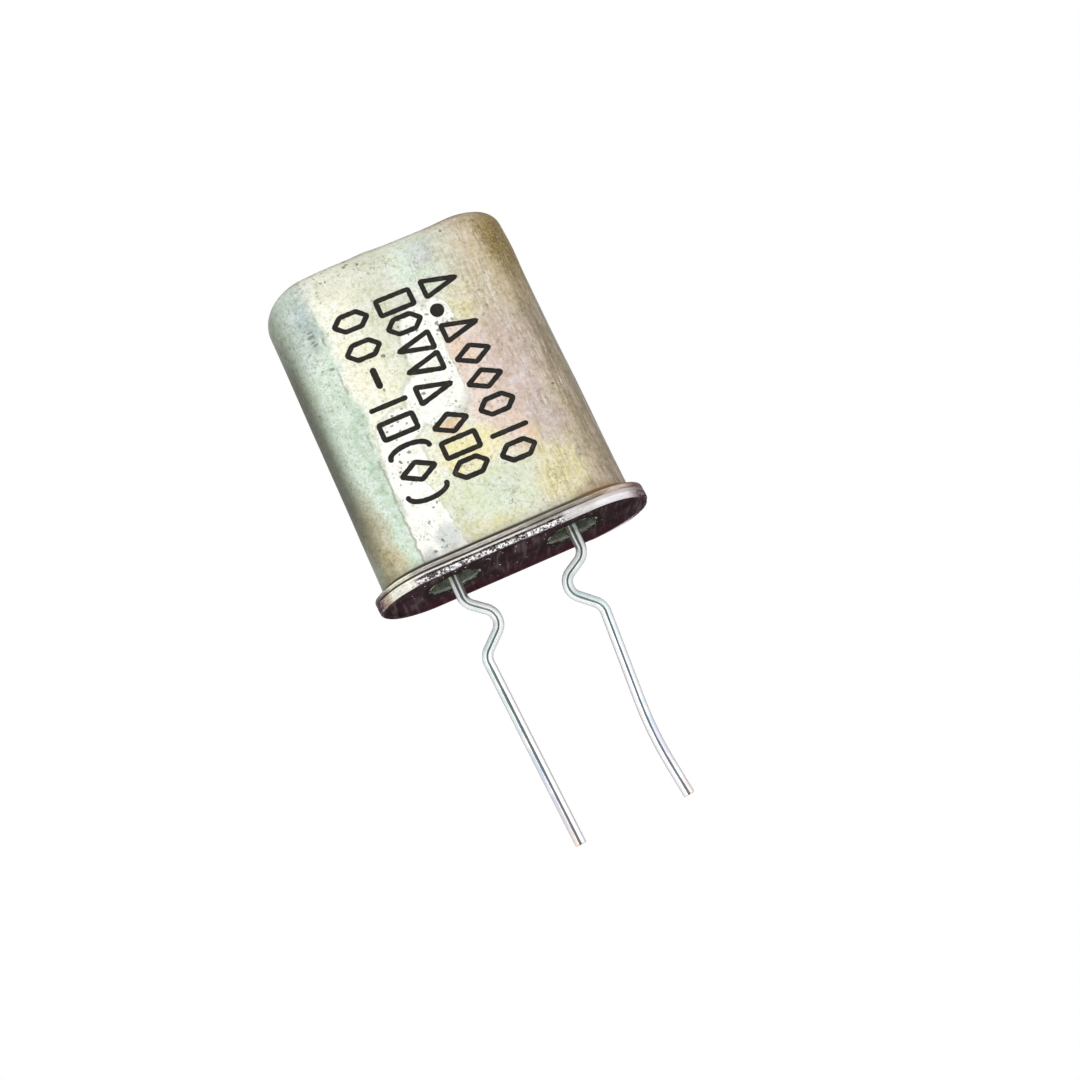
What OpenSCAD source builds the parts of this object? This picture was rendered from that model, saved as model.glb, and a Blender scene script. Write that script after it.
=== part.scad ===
// Two-lead quartz crystal in a welded metal can.
// Upright: +Z runs up the can, the rim's underside is z = 0 and the leads hang below it.
// X runs along the long side of the can and Y through its depth.

/* [Can] */
// Height of the closed top above the seating plane
can_height = 13.46; // [12:0.02:15]
// Distance between the centres of the two round ends, shared by every outline
end_spacing = 6.36; // [6:0.02:7]
// Depth of the can between its flat faces
can_depth = 3.78; // [3.6:0.02:4]
// Thickness of the drawn sheet
can_wall = 0.22; // [0.2:0.01:0.3]
// Outer radius of the edge round the closed top
top_edge_r = 1.2; // [0.6:0.1:1.5]
// Radius of the neck where the wall turns out into the flange
neck_r = 0.24; // [0.16:0.01:0.28]
// Radius on the outer edge of the can's flange
flange_edge_r = 0.09; // [0.04:0.01:0.1]

/* [Base] */
// Depth of the welded flange, front to back
flange_depth = 4.67; // [4.6:0.01:4.9]
// Height of the base's rim, from the seating plane to the weld joint
rim_height = 0.37; // [0.32:0.01:0.5]
// Radius on the outer edges of the rim
rim_edge_r = 0.12; // [0.06:0.01:0.15]
// Width of the rim that stands proud on the underside
rim_width = 0.34; // [0.26:0.02:0.5]
// Depth of the shallow recess inside the rim
recess_depth = 0.13; // [0.06:0.01:0.25]
// Radius in the corner of the recess
recess_edge_r = 0.06; // [0.02:0.01:0.06]
// Height of the raised centre that plugs the can's mouth
plug_height = 0.98; // [0.8:0.02:1.3]
// Gap between the raised centre and the inside of the can
plug_gap = 0.1; // [0.04:0.02:0.2]
// Radius round the top of the raised centre
plug_edge_r = 0.16; // [0.05:0.01:0.25]

/* [Glass seals] */
// Diameter of each glass seal
seal_d = 1.96; // [1.6:0.02:2.2]
// How far the glass bulges out of the recess
seal_bulge = 0.07; // [0.03:0.01:0.12]

/* [Leads] */
// Distance between the two lead axes
lead_pitch = 4.88; // [4.6:0.02:5.1]
// Diameter of the wire
lead_d = 0.43; // [0.38:0.01:0.5]
// Length of each lead below the seating plane
lead_length = 10.7; // [9:0.1:14]
// Length of lead inside the can, above the seating plane
lead_top = 2.5; // [2.2:0.1:2.8]
// Radius of every bend, at the wire's axis
bend_r = 0.62; // [0.5:0.02:0.66]
// Height of the ring that the forming dies leave at each end of a bend
die_mark_h = 0.006; // [0.004:0.001:0.012]
// Width of that ring
die_mark_w = 0.04; // [0.02:0.01:0.08]
// Depth of the flat pressed on the inner end for the clip
lead_flat = 0.07; // [0.03:0.01:0.12]

/* [Left lead] */
// Where the kink starts, below the seating plane
left_kink_start = 0.5; // [0.4:0.05:0.9]
// How far the kink steps in
left_kink_in = 0.84; // [0.7:0.02:1.1]
// How far it steps back out
left_kink_out = 0.9; // [0.7:0.02:1.1]
// Slope of the wire going in, from the vertical
left_slope_in = 50; // [42:1:60]
// Slope of the wire coming back
left_slope_out = 48; // [42:1:60]
// Lean of the long run, towards the other lead
left_lean = 2.4; // [0:0.2:6]

/* [Right lead] */
// Where the kink starts, below the seating plane
right_kink_start = 0.5; // [0.4:0.05:0.9]
// How far the kink steps in
right_kink_in = 1.05; // [0.8:0.05:1.3]
// How far it steps back out
right_kink_out = 0.82; // [0.7:0.02:1.1]
// Slope of the wire going in, from the vertical
right_slope_in = 60; // [50:1:66]
// Slope of the wire coming back
right_slope_out = 47; // [42:1:60]
// Lean of the run down to the knee, towards the other lead
right_lean = 4.6; // [0:0.2:8]
// Length of that run
right_knee_run = 4.8; // [3:0.1:5.5]
// Turn of the knee, away from the other lead
right_knee = 10.6; // [4:0.2:14]

/* [Quartz blank] */
// Thickness of the blank
blank_t = 0.38; // [0.3:0.01:0.42]
// Height of the blank's centre above the seating plane
blank_z = 6.8; // [6.4:0.1:7.4]
// Width of the bevel round the blank
bevel_w = 0.55; // [0.3:0.05:0.7]
// Thickness left at the blank's edge
blank_edge_t = 0.24; // [0.16:0.01:0.3]
// Diameter of the round electrode film
electrode_d = 4.6; // [3.6:0.1:5.4]
// Width of the electrode's tab
tab_w = 0.9; // [0.5:0.1:1.2]
// Thickness of the electrode film
film_t = 0.02; // [0.01:0.01:0.04]

/* [Support clips] */
// Thickness of the clip's strip
clip_t = 0.12; // [0.08:0.01:0.14]
// Width of the strip
clip_w = 1.5; // [1.2:0.1:1.8]
// Gap between the blank's faces and the sides of the slot
slot_gap = 0.05; // [0.03:0.01:0.08]
// How far the blank's rim reaches through the clip
blank_reach = 0.08; // [0.04:0.01:0.12]
// Length of strip welded to the lead's flat
weld_length = 1.2; // [0.8:0.1:1.4]
// Strip left above the slot
slot_land = 0.4; // [0.3:0.05:0.6]
// Upright strip left below the slot, before it slants in to the lead
slot_foot = 0.9; // [0.7:0.05:1.1]
// Radius of the bends in the strip
clip_bend_r = 0.4; // [0.25:0.05:0.5]
// Radius of the cement bead
cement_r = 0.56; // [0.45:0.01:0.65]
// Free space between the cement bead and the inside of the can
bead_space = 0.39; // [0.3:0.01:0.6]

/* [Hidden] */
$fn = 48;

LEFT = -1;
RIGHT = 1;
FRONT = -1;
BACK = 1;
// How far a cut runs past the face it opens
past = 0.5;

can_r = can_depth / 2;
flange_r = flange_depth / 2;
flange_top = rim_height + can_wall;
mouth_r = neck_r + can_wall;
plug_r = can_r - can_wall - plug_gap;
seal_r = seal_d / 2;
lead_r = lead_d / 2;
lead_x = lead_pitch / 2;

// The clip stands against the lead's flat below. Above, it keeps its cement bead clear of
// the can, and the blank reaches just through it from side to side.
weld_x = lead_x + lead_r - lead_flat + clip_t / 2;
clip_x = end_spacing / 2 + can_r - can_wall - bead_space - cement_r;
blank_r = clip_x + clip_t / 2 + blank_reach;
slot_w = blank_t + 2 * slot_gap;
chord = sqrt(blank_r * blank_r - pow(clip_x - clip_t / 2, 2));
slot_half = chord + slot_gap;
clip_top = blank_z + slot_half + slot_land;
clip_knee = blank_z - slot_half - slot_foot;

// ---- Outlines with two round ends ----

// Carries a half profile round the outline: straight along the sides, turned at both ends
module round_ended() {
    rotate([90, 0, 90])
        linear_extrude(end_spacing, center = true) {
            children();
            mirror([1, 0]) children();
        }
    for (side = [LEFT, RIGHT])
        translate([side * end_spacing / 2, 0, 0])
            rotate([0, 0, -90 * side])
                rotate_extrude(angle = 180) children();
}

// Rectangle from the middle out to r, between two heights, with its outer corners rounded
module band(r, low, high, low_round, high_round) {
    translate([0, low + low_round]) square([r, high - low - low_round - high_round]);
    translate([0, low]) square([r - low_round, high - low - high_round]);
    translate([0, low + low_round]) square([r - high_round, high - low - low_round]);
    if (low_round > 0) translate([r - low_round, low + low_round]) mirror([0, 1]) quarter_disc(low_round);
    if (high_round > 0) translate([r - high_round, high - high_round]) quarter_disc(high_round);
}

module quarter_disc(radius) {
    intersection() {
        circle(radius);
        square(radius);
    }
}

// Filler for an inside corner at (r, z), which opens outwards and upwards
module corner_filler(r, z, radius) {
    difference() {
        translate([r, z]) square(radius);
        translate([r + radius, z + radius]) circle(radius);
    }
}

// ---- Can ----

module can_profile() {
    difference() {
        union() {
            band(can_r, rim_height, can_height, 0, top_edge_r);
            band(flange_r, rim_height, flange_top, flange_edge_r, flange_edge_r);
            corner_filler(can_r, flange_top, neck_r);
        }
        // Inside of the can, one sheet thickness in
        translate([0, -past])
            band(can_r - can_wall, rim_height, can_height - can_wall + past, 0,
                 top_edge_r - can_wall);
        // The mouth flares where the sheet turns out
        corner_filler(can_r - can_wall, rim_height, mouth_r);
    }
}

module can() {
    color([0.76, 0.77, 0.66]) round_ended() can_profile();
}

// ---- Base and glass ----

module base_profile() {
    difference() {
        union() {
            band(flange_r, 0, rim_height, rim_edge_r, rim_edge_r);
            band(plug_r, rim_height, plug_height, 0, plug_edge_r);
        }
        translate([0, -past])
            band(flange_r - rim_width, 0, recess_depth + past, 0, recess_edge_r);
    }
}

module base_plate() {
    color([0.36, 0.28, 0.30])
        difference() {
            round_ended() base_profile();
            for (side = [LEFT, RIGHT])
                translate([side * lead_x, 0, -past]) cylinder(r = seal_r, h = plug_height + 2 * past);
        }
}

// Glass bead: flush with the plug above, with a low dome below and the lead's hole through it
module glass_seal(side) {
    dome_r = (seal_r * seal_r + seal_bulge * seal_bulge) / (2 * seal_bulge);
    color([0.12, 0.22, 0.17])
        translate([side * lead_x, 0, 0])
            difference() {
                intersection() {
                    cylinder(r = seal_r, h = plug_height);
                    translate([0, 0, recess_depth - seal_bulge + dome_r]) sphere(dome_r);
                }
                translate([0, 0, -past]) cylinder(r = lead_r, h = plug_height + 2 * past);
            }
}

// ---- Leads ----

// Straight part between two bends that steps the wire's axis sideways by depth,
// when the bends at its ends turn it from angle_a to slope and on to angle_b
function leg(depth, slope, angle_a, angle_b) =
    (depth - bend_r * (cos(angle_a) + cos(angle_b) - 2 * cos(slope))) / sin(slope);

// Wire laid down along local +Z from a list of [straight length, turn] steps;
// a positive turn bends it towards local +X
module wire(steps, first = 0) {
    if (first < len(steps)) {
        straight = steps[first][0];
        turn = steps[first][1];
        cylinder(r = lead_r, h = straight);
        if (first > 0) die_mark();
        translate([0, 0, straight]) {
            if (turn != 0) {
                die_mark();
                bend(turn);
            }
            translate([sign(turn) * bend_r * (1 - cos(turn)), 0, bend_r * abs(sin(turn))])
                rotate([0, turn, 0]) wire(steps, first + 1);
        }
    }
}

// Faint ring that the forming dies leave at each end of a bend
module die_mark() {
    cylinder(r = lead_r + die_mark_h, h = die_mark_w, center = true);
}

// Piece of a torus that turns the wire from +Z towards +X
module bend(turn) {
    mirror([turn < 0 ? 1 : 0, 0, 0])
        translate([bend_r, 0, 0])
            rotate([90, 0, 0])
                rotate([0, 0, 180 - abs(turn)])
                    rotate_extrude(angle = abs(turn)) translate([bend_r, 0]) circle(lead_r);
}

// Steps of one lead, from its top inside the can down to its tip. The kink steps in and
// back out, then the wire runs on at its lean, with a knee on the way where it has one.
function lead_steps(start, in, out, slope_in, slope_out, lean, knee_run, knee) =
    let (
        leg_in = leg(in, slope_in, 0, 0),
        leg_out = leg(out, slope_out, 0, lean),
        turned = bend_r * (2 * sin(slope_in) + 2 * sin(slope_out) + sin(lean)),
        kink_drop = turned + leg_in * cos(slope_in) + leg_out * cos(slope_out),
        knee_drop = knee_run * cos(lean) + bend_r * (sin(lean) + sin(knee - lean)),
        rest = lead_length - start - kink_drop
    )
    knee == 0
    ? [[lead_top + start, slope_in], [leg_in, -slope_in - slope_out],
       [leg_out, slope_out + lean], [rest / cos(lean), 0]]
    : [[lead_top + start, slope_in], [leg_in, -slope_in - slope_out],
       [leg_out, slope_out + lean], [knee_run, -knee],
       [(rest - knee_drop) / cos(knee - lean), 0]];

// A lead, with the flat for its clip pressed on the outer side of its top
module lead(side, steps) {
    color([0.86, 0.88, 0.90])
        translate([side * lead_x, 0, 0])
            mirror([side > 0 ? 1 : 0, 0, 0])
                difference() {
                    translate([0, 0, lead_top]) rotate([180, 0, 0]) wire(steps);
                    translate([-lead_r - past, -past, lead_top - weld_length])
                        cube([past + lead_flat, 2 * past, weld_length + past]);
                }
}

module lead_left() {
    lead(LEFT, lead_steps(left_kink_start, left_kink_in, left_kink_out, left_slope_in,
                          left_slope_out, left_lean, 0, 0));
}

module lead_right() {
    lead(RIGHT, lead_steps(right_kink_start, right_kink_in, right_kink_out, right_slope_in,
                           right_slope_out, right_lean, right_knee_run, right_knee));
}

// ---- Support clips, blank, electrodes and cement ----

// Centre line of the strip, in X and Z: up the lead, out under the blank, up beside it
function clip_path() =
    let (
        low = [weld_x, lead_top - weld_length],
        turn_out = [weld_x, lead_top + clip_bend_r],
        turn_up = [clip_x, clip_knee],
        high = [clip_x, clip_top],
        slant = atan2(clip_x - weld_x, turn_up[1] - turn_out[1]),
        cut = clip_bend_r * tan(slant / 2)
    )
    concat(
        [low],
        [for (k = [0 : 4]) turn_out + bend_point(slant * k / 4, cut)],
        [for (k = [4 : -1 : 0]) turn_up - bend_point(slant * k / 4, cut)],
        [high]
    );

// Point at angle a along a bend that starts upright, seen from the bend's sharp corner
function bend_point(a, cut) = [clip_bend_r * (1 - cos(a)), clip_bend_r * sin(a) - cut];

// Outline of a strip of thickness t along a path, offset to both sides by its half
function strip_outline(path, t) =
    let (
        last = len(path) - 1,
        normals = [for (i = [0 : last])
            let (d = path[min(i + 1, last)] - path[max(i - 1, 0)])
            [d[1], -d[0]] / norm(d)]
    )
    concat([for (i = [0 : last]) path[i] + normals[i] * t / 2],
           [for (i = [last : -1 : 0]) path[i] - normals[i] * t / 2]);

module support_clip(side) {
    color([0.78, 0.74, 0.62])
        mirror([side < 0 ? 1 : 0, 0, 0])
            difference() {
                rotate([90, 0, 0])
                    linear_extrude(clip_w, center = true) polygon(strip_outline(clip_path(), clip_t));
                translate([clip_x - past / 2, -slot_w / 2, blank_z - slot_half])
                    cube([past, slot_w, 2 * slot_half]);
            }
}

// Quartz plate standing on edge, with both faces bevelled towards its rim
module quartz_blank() {
    color([0.86, 0.90, 0.92, 0.6])
        translate([0, 0, blank_z])
            rotate([90, 0, 0])
                rotate_extrude()
                    polygon([[0, -blank_t / 2], [blank_r - bevel_w, -blank_t / 2],
                             [blank_r, -blank_edge_t / 2], [blank_r, blank_edge_t / 2],
                             [blank_r - bevel_w, blank_t / 2], [0, blank_t / 2]]);
}

// Round film with a tab that runs out over the flat of the blank towards one clip
module electrode(face, side) {
    color([0.88, 0.88, 0.86])
        translate([0, face * (blank_t + film_t) / 2, blank_z])
            rotate([90, 0, 0]) {
                cylinder(d = electrode_d, h = film_t, center = true);
                translate([side > 0 ? 0 : -(blank_r - bevel_w), -tab_w / 2, -film_t / 2])
                    cube([blank_r - bevel_w, tab_w, film_t]);
            }
}

module electrode_front() {
    electrode(FRONT, LEFT);
}

module electrode_back() {
    electrode(BACK, RIGHT);
}

// Bead of cement round the blank's edge where it sits in the clip's slot
module cement(side) {
    color([0.62, 0.62, 0.64])
        difference() {
            translate([side * clip_x, 0, blank_z]) sphere(cement_r);
            quartz_blank();
            support_clip(side);
            electrode_front();
            electrode_back();
        }
}

can();
base_plate();
glass_seal(LEFT);  // glass_seal_left
glass_seal(RIGHT);  // glass_seal_right
lead_left();
lead_right();
support_clip(LEFT);  // support_clip_left
support_clip(RIGHT);  // support_clip_right
quartz_blank();
electrode_front();
electrode_back();
cement(LEFT);  // cement_left
cement(RIGHT);  // cement_right
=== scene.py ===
"""Looks of a two-lead quartz crystal in a welded metal can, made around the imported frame.

Lengths below are in millimetres and become metres when a mesh is made. +Z runs up the can,
the leads hang below z = 0, and the printed face looks towards -Y.
"""

import math

import bmesh
import bpy
import numpy as np
from mathutils import Matrix, Vector


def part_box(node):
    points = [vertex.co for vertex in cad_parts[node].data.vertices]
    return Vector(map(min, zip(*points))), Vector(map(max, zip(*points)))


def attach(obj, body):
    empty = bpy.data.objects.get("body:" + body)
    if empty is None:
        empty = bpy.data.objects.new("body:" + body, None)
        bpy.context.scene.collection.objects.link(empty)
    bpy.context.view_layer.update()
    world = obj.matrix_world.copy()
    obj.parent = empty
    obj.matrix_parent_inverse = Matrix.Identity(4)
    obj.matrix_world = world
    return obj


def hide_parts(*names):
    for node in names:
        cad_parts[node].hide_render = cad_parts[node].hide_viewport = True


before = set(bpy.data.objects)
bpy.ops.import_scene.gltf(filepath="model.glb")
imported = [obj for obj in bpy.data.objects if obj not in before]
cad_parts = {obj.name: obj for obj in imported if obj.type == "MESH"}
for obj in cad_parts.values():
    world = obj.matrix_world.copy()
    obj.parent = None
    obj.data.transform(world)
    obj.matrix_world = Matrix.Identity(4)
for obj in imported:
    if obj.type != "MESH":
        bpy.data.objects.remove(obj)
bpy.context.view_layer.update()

MM = 0.001


def corners(node):
    """Lowest and highest corner of a CAD node, in millimetres."""
    low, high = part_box(node)
    return np.array(low) / MM, np.array(high) / MM


# ---- Sizes, from the frame's boxes where a box gives them ----

CAN_LOW, CAN_HIGH = corners("can")
_, BASE_HIGH = corners("base_plate")
SEAL_LOW, SEAL_HIGH = corners("glass_seal_right")
_, WIRE_HIGH = corners("lead_left")

HALF_MIDDLE = CAN_HIGH[0] - CAN_HIGH[1]
FLANGE_R = CAN_HIGH[1]
CAN_TOP = CAN_HIGH[2]
JOINT = CAN_LOW[2]
PLUG_TOP = BASE_HIGH[2]
LEAD_X = (SEAL_LOW[0] + SEAL_HIGH[0]) / 2
SEAL_R = SEAL_HIGH[1]
LEAD_R = 0.215
LEAD_TOP = WIRE_HIGH[2]
LEAD_LENGTH = 10.7

CAN_R = 1.89
WALL = 0.22
TOP_EDGE_R = 1.2
ROUNDER_LEFT = 0.22
SQUARER_RIGHT = 0.38
NECK_R = 0.24
FLANGE_EDGE_R = 0.09
FLANGE_TOP = JOINT + WALL
RIM_EDGE_R = 0.12
RIM_WIDTH = 0.34
RIM_IN = FLANGE_R - RIM_WIDTH
RIM_CHAMFER = 0.012
JOINT_EDGE_R = 0.05
RECESS = 0.13
RECESS_EDGE_R = 0.06
PLUG_R = CAN_R - WALL - 0.1
PLUG_EDGE_R = 0.16
SEAL_BULGE = 0.07
BEND_R = 0.62
KNEE_R = 14.0
LEAD_FLAT = 0.07
WELD_LENGTH = 1.2
SHEARED = 0.022
END_SHIFT = 0.07

# Direction that the painted dark reflection line along each wire faces, and the y direction of the
# front
REFLECTION_LINE_FACING = (-0.13, -0.96, -0.23)
FRONT = -1

# x of the middle of the weld's rough flash, in front and behind
FLASH_MIDDLES = (-0.95, 0.6)


# ---- Mesh tools ----

TOUCHING = 2e-5


def lattice_noise(points, cell, seed):
    """Smooth noise from -1 to 1: random values at the corners of cubes of side cell, blended
    between the eight corners with the weight 3t^2 - 2t^3 along each axis."""
    size = 48
    table = np.random.default_rng(seed).uniform(-1, 1, (size, size, size))
    place = points / cell + size / 3
    low = np.floor(place).astype(int)
    t = place - low
    t = t * t * (3 - 2 * t)
    total = np.zeros(points.shape[:-1])
    for corner in np.ndindex(2, 2, 2):
        weight = np.prod(np.where(np.array(corner) == 1, t, 1 - t), axis=-1)
        at = (low + corner) % size
        total += weight * table[at[..., 0], at[..., 1], at[..., 2]]
    return total


def grid_faces(rows, columns, closed):
    """Four-sided faces of a grid of points numbered row by row; closed joins the last column
    to the first."""
    last = columns if closed else columns - 1
    row, column = np.meshgrid(np.arange(rows - 1), np.arange(last), indexing="ij")
    after = (column + 1) % columns
    return np.stack([row * columns + column, row * columns + after,
                     (row + 1) * columns + after, (row + 1) * columns + column],
                    axis=-1).reshape(-1, 4)


def add_piece(name, grids, material, sharp=40.0, body="root", replaces=(), around=None):
    """Makes one object from grids of points, each (points in rows and columns, closed), with
    points that fall together merged and faces turned outwards. around, one vector for each
    point, is kept as the attribute of that name."""
    points, faces, count = [], [], 0
    for grid, closed in grids:
        rows, columns = grid.shape[:2]
        faces.append(grid_faces(rows, columns, closed) + count)
        points.append(grid.reshape(-1, 3))
        count += rows * columns
    mesh = bpy.data.meshes.new(name)
    mesh.from_pydata(np.concatenate(points) * MM, [], np.concatenate(faces).tolist())
    if around is not None:
        kept = mesh.attributes.new("around", "FLOAT_VECTOR", "POINT")
        kept.data.foreach_set("vector", around.reshape(-1))
    work = bmesh.new()
    work.from_mesh(mesh)
    bmesh.ops.remove_doubles(work, verts=work.verts, dist=TOUCHING * MM)
    bmesh.ops.dissolve_degenerate(work, edges=work.edges, dist=TOUCHING * MM)
    bmesh.ops.recalc_face_normals(work, faces=work.faces)
    work.to_mesh(mesh)
    work.free()
    mesh.shade_smooth()
    mesh.set_sharp_from_angle(angle=math.radians(sharp))
    mesh.materials.append(material)
    piece = bpy.data.objects.new(name, mesh)
    bpy.context.scene.collection.objects.link(piece)
    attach(piece, body)
    if replaces:
        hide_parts(*replaces)


def arc(r, z, radius, start, end, steps):
    """Points at (r + radius cos a, z + radius sin a) for a from start to end, in degrees."""
    a = np.radians(np.linspace(start, end, steps))
    return np.column_stack([r + radius * np.cos(a), z + radius * np.sin(a)])


def between(start, end, steps):
    """Points on the straight line from start to end, without its two ends."""
    t = np.linspace(0, 1, steps + 2)[1:-1, None]
    return np.array(start) * (1 - t) + np.array(end) * t


def outline(straight, turn):
    """Columns round an outline with two round ends, as (cx, nx, ny): the point of the middle
    line that the column stands out from, and the direction in which it does. A profile point
    (r, z) then lies at (cx + r nx, r ny, z)."""
    x = np.linspace(-1, 1, straight, endpoint=False) * HALF_MIDDLE
    a = np.linspace(-math.pi / 2, math.pi / 2, turn, endpoint=False)
    ones = np.ones
    cx = np.concatenate([x, HALF_MIDDLE * ones(turn), -x, -HALF_MIDDLE * ones(turn)])
    nx = np.concatenate([0 * x, np.cos(a), 0 * x, -np.cos(a)])
    ny = np.concatenate([-ones(straight), np.sin(a), ones(straight), -np.sin(a)])
    return np.stack([cx, nx, ny])


def carry(profile, columns):
    """Grid of a profile of (r, z) points carried round the columns of an outline."""
    cx, nx, ny = columns
    r = profile[:, :1]
    return np.stack([cx + r * nx, r * ny, profile[:, 1:] + 0 * cx], axis=-1)


# ---- Can ----

def sheet_wave(points):
    """How far the drawn sheet stands out from its nominal face: broad waves of 0.012 mm and
    small ones of 0.003 mm."""
    return 0.012 * lattice_noise(points, 2.6, 11) + 0.003 * lattice_noise(points, 0.7, 12)


def uneven_top(x, z):
    """How far the top is off level: dips and rises h exp(-((x - m) / w)^2) that fade out over
    the upper part of the wall."""
    dips = sum(h * np.exp(-((x - m) / w) ** 2) for h, m, w in
               ((-0.13, -4.2, 1.4), (0.04, -0.5, 0.5), (0.05, 3.2, 0.7)))
    return dips * np.clip((z - CAN_TOP + 2.2) / 1.6, 0, 1)


def over_edge(cut, edge_r, steps):
    """Rows (r, z) from the middle of the top over its edge, one column for each edge radius R:
    r = CAN_R - cut - R (1 - sin a), z = CAN_TOP - cut - R (1 - cos a)."""
    a = np.radians(np.linspace(0, 90, steps))[:, None]
    r = CAN_R - cut - edge_r * (1 - np.sin(a))
    z = CAN_TOP - cut - edge_r * (1 - np.cos(a))
    t = np.linspace(0, 1, 8)[:-1, None]
    return np.stack([np.concatenate([r[:1] * t, r]), np.concatenate([z[:1] + 0 * t, z])], axis=-1)


def make_can(material):
    """Shell of the can: an outer profile from the middle of the top, down the side, round the
    neck and the flange's edge, then back up the inside one sheet thickness in. The drawing
    left the top edge rounder at the left end and squarer at the right, by how far each column
    faces left or right: R = TOP_EDGE_R + ROUNDER_LEFT left^2 - SQUARER_RIGHT right^2. The right
    end stands out by 0.045 right^2 exp(-((z - 11.6) / 0.8)^2), and the flange there by
    0.4 END_SHIFT right (right + k |ny|), with k = 1.6 in front and 3 behind."""
    columns = outline(100, 96)
    cx, nx, ny = columns
    left, right = np.clip(-nx, 0, 1), np.clip(nx, 0, 1)
    edge_r = TOP_EDGE_R + ROUNDER_LEFT * left ** 2 - SQUARER_RIGHT * right ** 2
    edge = FLANGE_EDGE_R
    neck_z = FLANGE_TOP + NECK_R
    spread = lambda profile: np.repeat(profile[:, None], len(cx), axis=1)
    top = over_edge(0, edge_r, 22)
    t = np.linspace(0, 1, 66)[1:-1, None, None]
    wall = top[-1] * (1 - t) + np.array([CAN_R, neck_z]) * t
    foot = np.concatenate([
        arc(CAN_R + NECK_R, neck_z, NECK_R, 180, 270, 9),
        arc(FLANGE_R - edge, FLANGE_TOP - edge, edge, 90, 0, 7),
        arc(FLANGE_R - edge, JOINT + edge, edge, 0, -90, 7),
    ])
    outer = np.concatenate([top, wall, spread(foot)])
    mouth = arc(CAN_R + NECK_R, neck_z, NECK_R + WALL, 270, 180, 9)
    inner = np.concatenate([spread(mouth), over_edge(WALL, edge_r - WALL, 10)[::-1]])
    step = np.gradient(outer, axis=0)
    step = step / np.linalg.norm(step, axis=-1, keepdims=True)
    out = np.stack([-step[..., 1] * nx, -step[..., 1] * ny, step[..., 0]], axis=-1)
    skin, lining = (np.stack([cx + part[..., 0] * nx, part[..., 0] * ny, part[..., 1]], axis=-1)
                    for part in (outer, inner))
    flange = skin[..., 2] < FLANGE_TOP + NECK_R / 2
    fuller = 0.4 * END_SHIFT * right * (right + np.where(ny > 0, 3, 1.6) * np.abs(ny))
    bulge = 0.045 * right ** 2 * np.exp(-((skin[..., 2] - 11.6) / 0.8) ** 2)
    shift = np.where(flange, 0.010 * lattice_noise(skin, 0.5, 13) - 0.006 + fuller,
                     sheet_wave(skin) + bulge)
    skin = skin + out * shift[..., None]
    for part in (skin, lining):
        part[..., 2] += uneven_top(part[..., 0], part[..., 2])
    add_piece("can_shell", [(np.concatenate([skin, lining]), True)], material,
              replaces=["can"])


# ---- Base ----

def half_loop(mid, straight, turn):
    """Columns round the right half of the outline and back along the middle line x = 0, in
    the same (cx, nx, ny) form. The columns on the middle line have nx = 0 and |ny| < 1."""
    x = np.linspace(0, 1, straight, endpoint=False) * HALF_MIDDLE
    a = np.linspace(-math.pi / 2, math.pi / 2, turn, endpoint=False)
    back = HALF_MIDDLE - np.append(x, HALF_MIDDLE)
    across = np.linspace(1, -1, mid + 2)[1:-1]
    cx = np.concatenate([x, HALF_MIDDLE * np.ones(turn), back, 0 * across])
    nx = np.concatenate([0 * x, np.cos(a), 0 * back, 0 * across])
    ny = np.concatenate([-np.ones(straight), np.sin(a), np.ones(straight + 1), across])
    return np.stack([cx, nx, ny])


def flash_zone(x, y):
    """1 where the weld's flash is rough, along the middle of the long sides, 0 at the ends."""
    middle = np.where(y < 0, *FLASH_MIDDLES)
    away = np.abs(x - middle) + 0.25 * np.sin(5 * x)
    return np.clip((3.0 - away) / 0.35, 0, 1)


def rim_stand(grid, profile, nx, ny, side):
    """How far the rim of one half stands out. Where the weld's flash is rough: lumps on the
    lower edge, above them a groove 0.05 exp(-((z - 0.235) / 0.03)^2), and 0.02 less in all.
    Everywhere: soft waves. The right end is fuller by END_SHIFT (0.4 nx^2 + 2 k nx |ny|), with
    k = 0.5 in front and 2.8 behind; the left end's lower edge steps in by 0.4 END_SHIFT nx^2."""
    z = profile[:, 1:]
    lumps = 0.055 * lattice_noise(grid, 0.085, 21) + 0.02 * lattice_noise(grid, 0.2, 22)
    low = np.clip((0.2 - z) / 0.05, 0, 1) * np.clip(z / 0.03 + 0.3, 0, 1)
    groove = np.exp(-((z - 0.235) / 0.03) ** 2)
    rough = flash_zone(grid[..., 0], grid[..., 1]) * (low * lumps - 0.05 * groove - 0.02)
    smooth = 0.006 * lattice_noise(grid, 0.6, 23) - 0.006
    if side > 0:
        end = 0.4 * nx ** 2 + 2 * nx * np.abs(ny) * np.where(ny > 0, 2.8, 0.5)
    else:
        end = -0.4 * (1 - z / JOINT) * nx ** 2
    wall = (profile[:, :1] > FLANGE_R - RIM_EDGE_R) & (z < JOINT)
    return np.where(wall, rough + smooth + END_SHIFT * end, 0)


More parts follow.
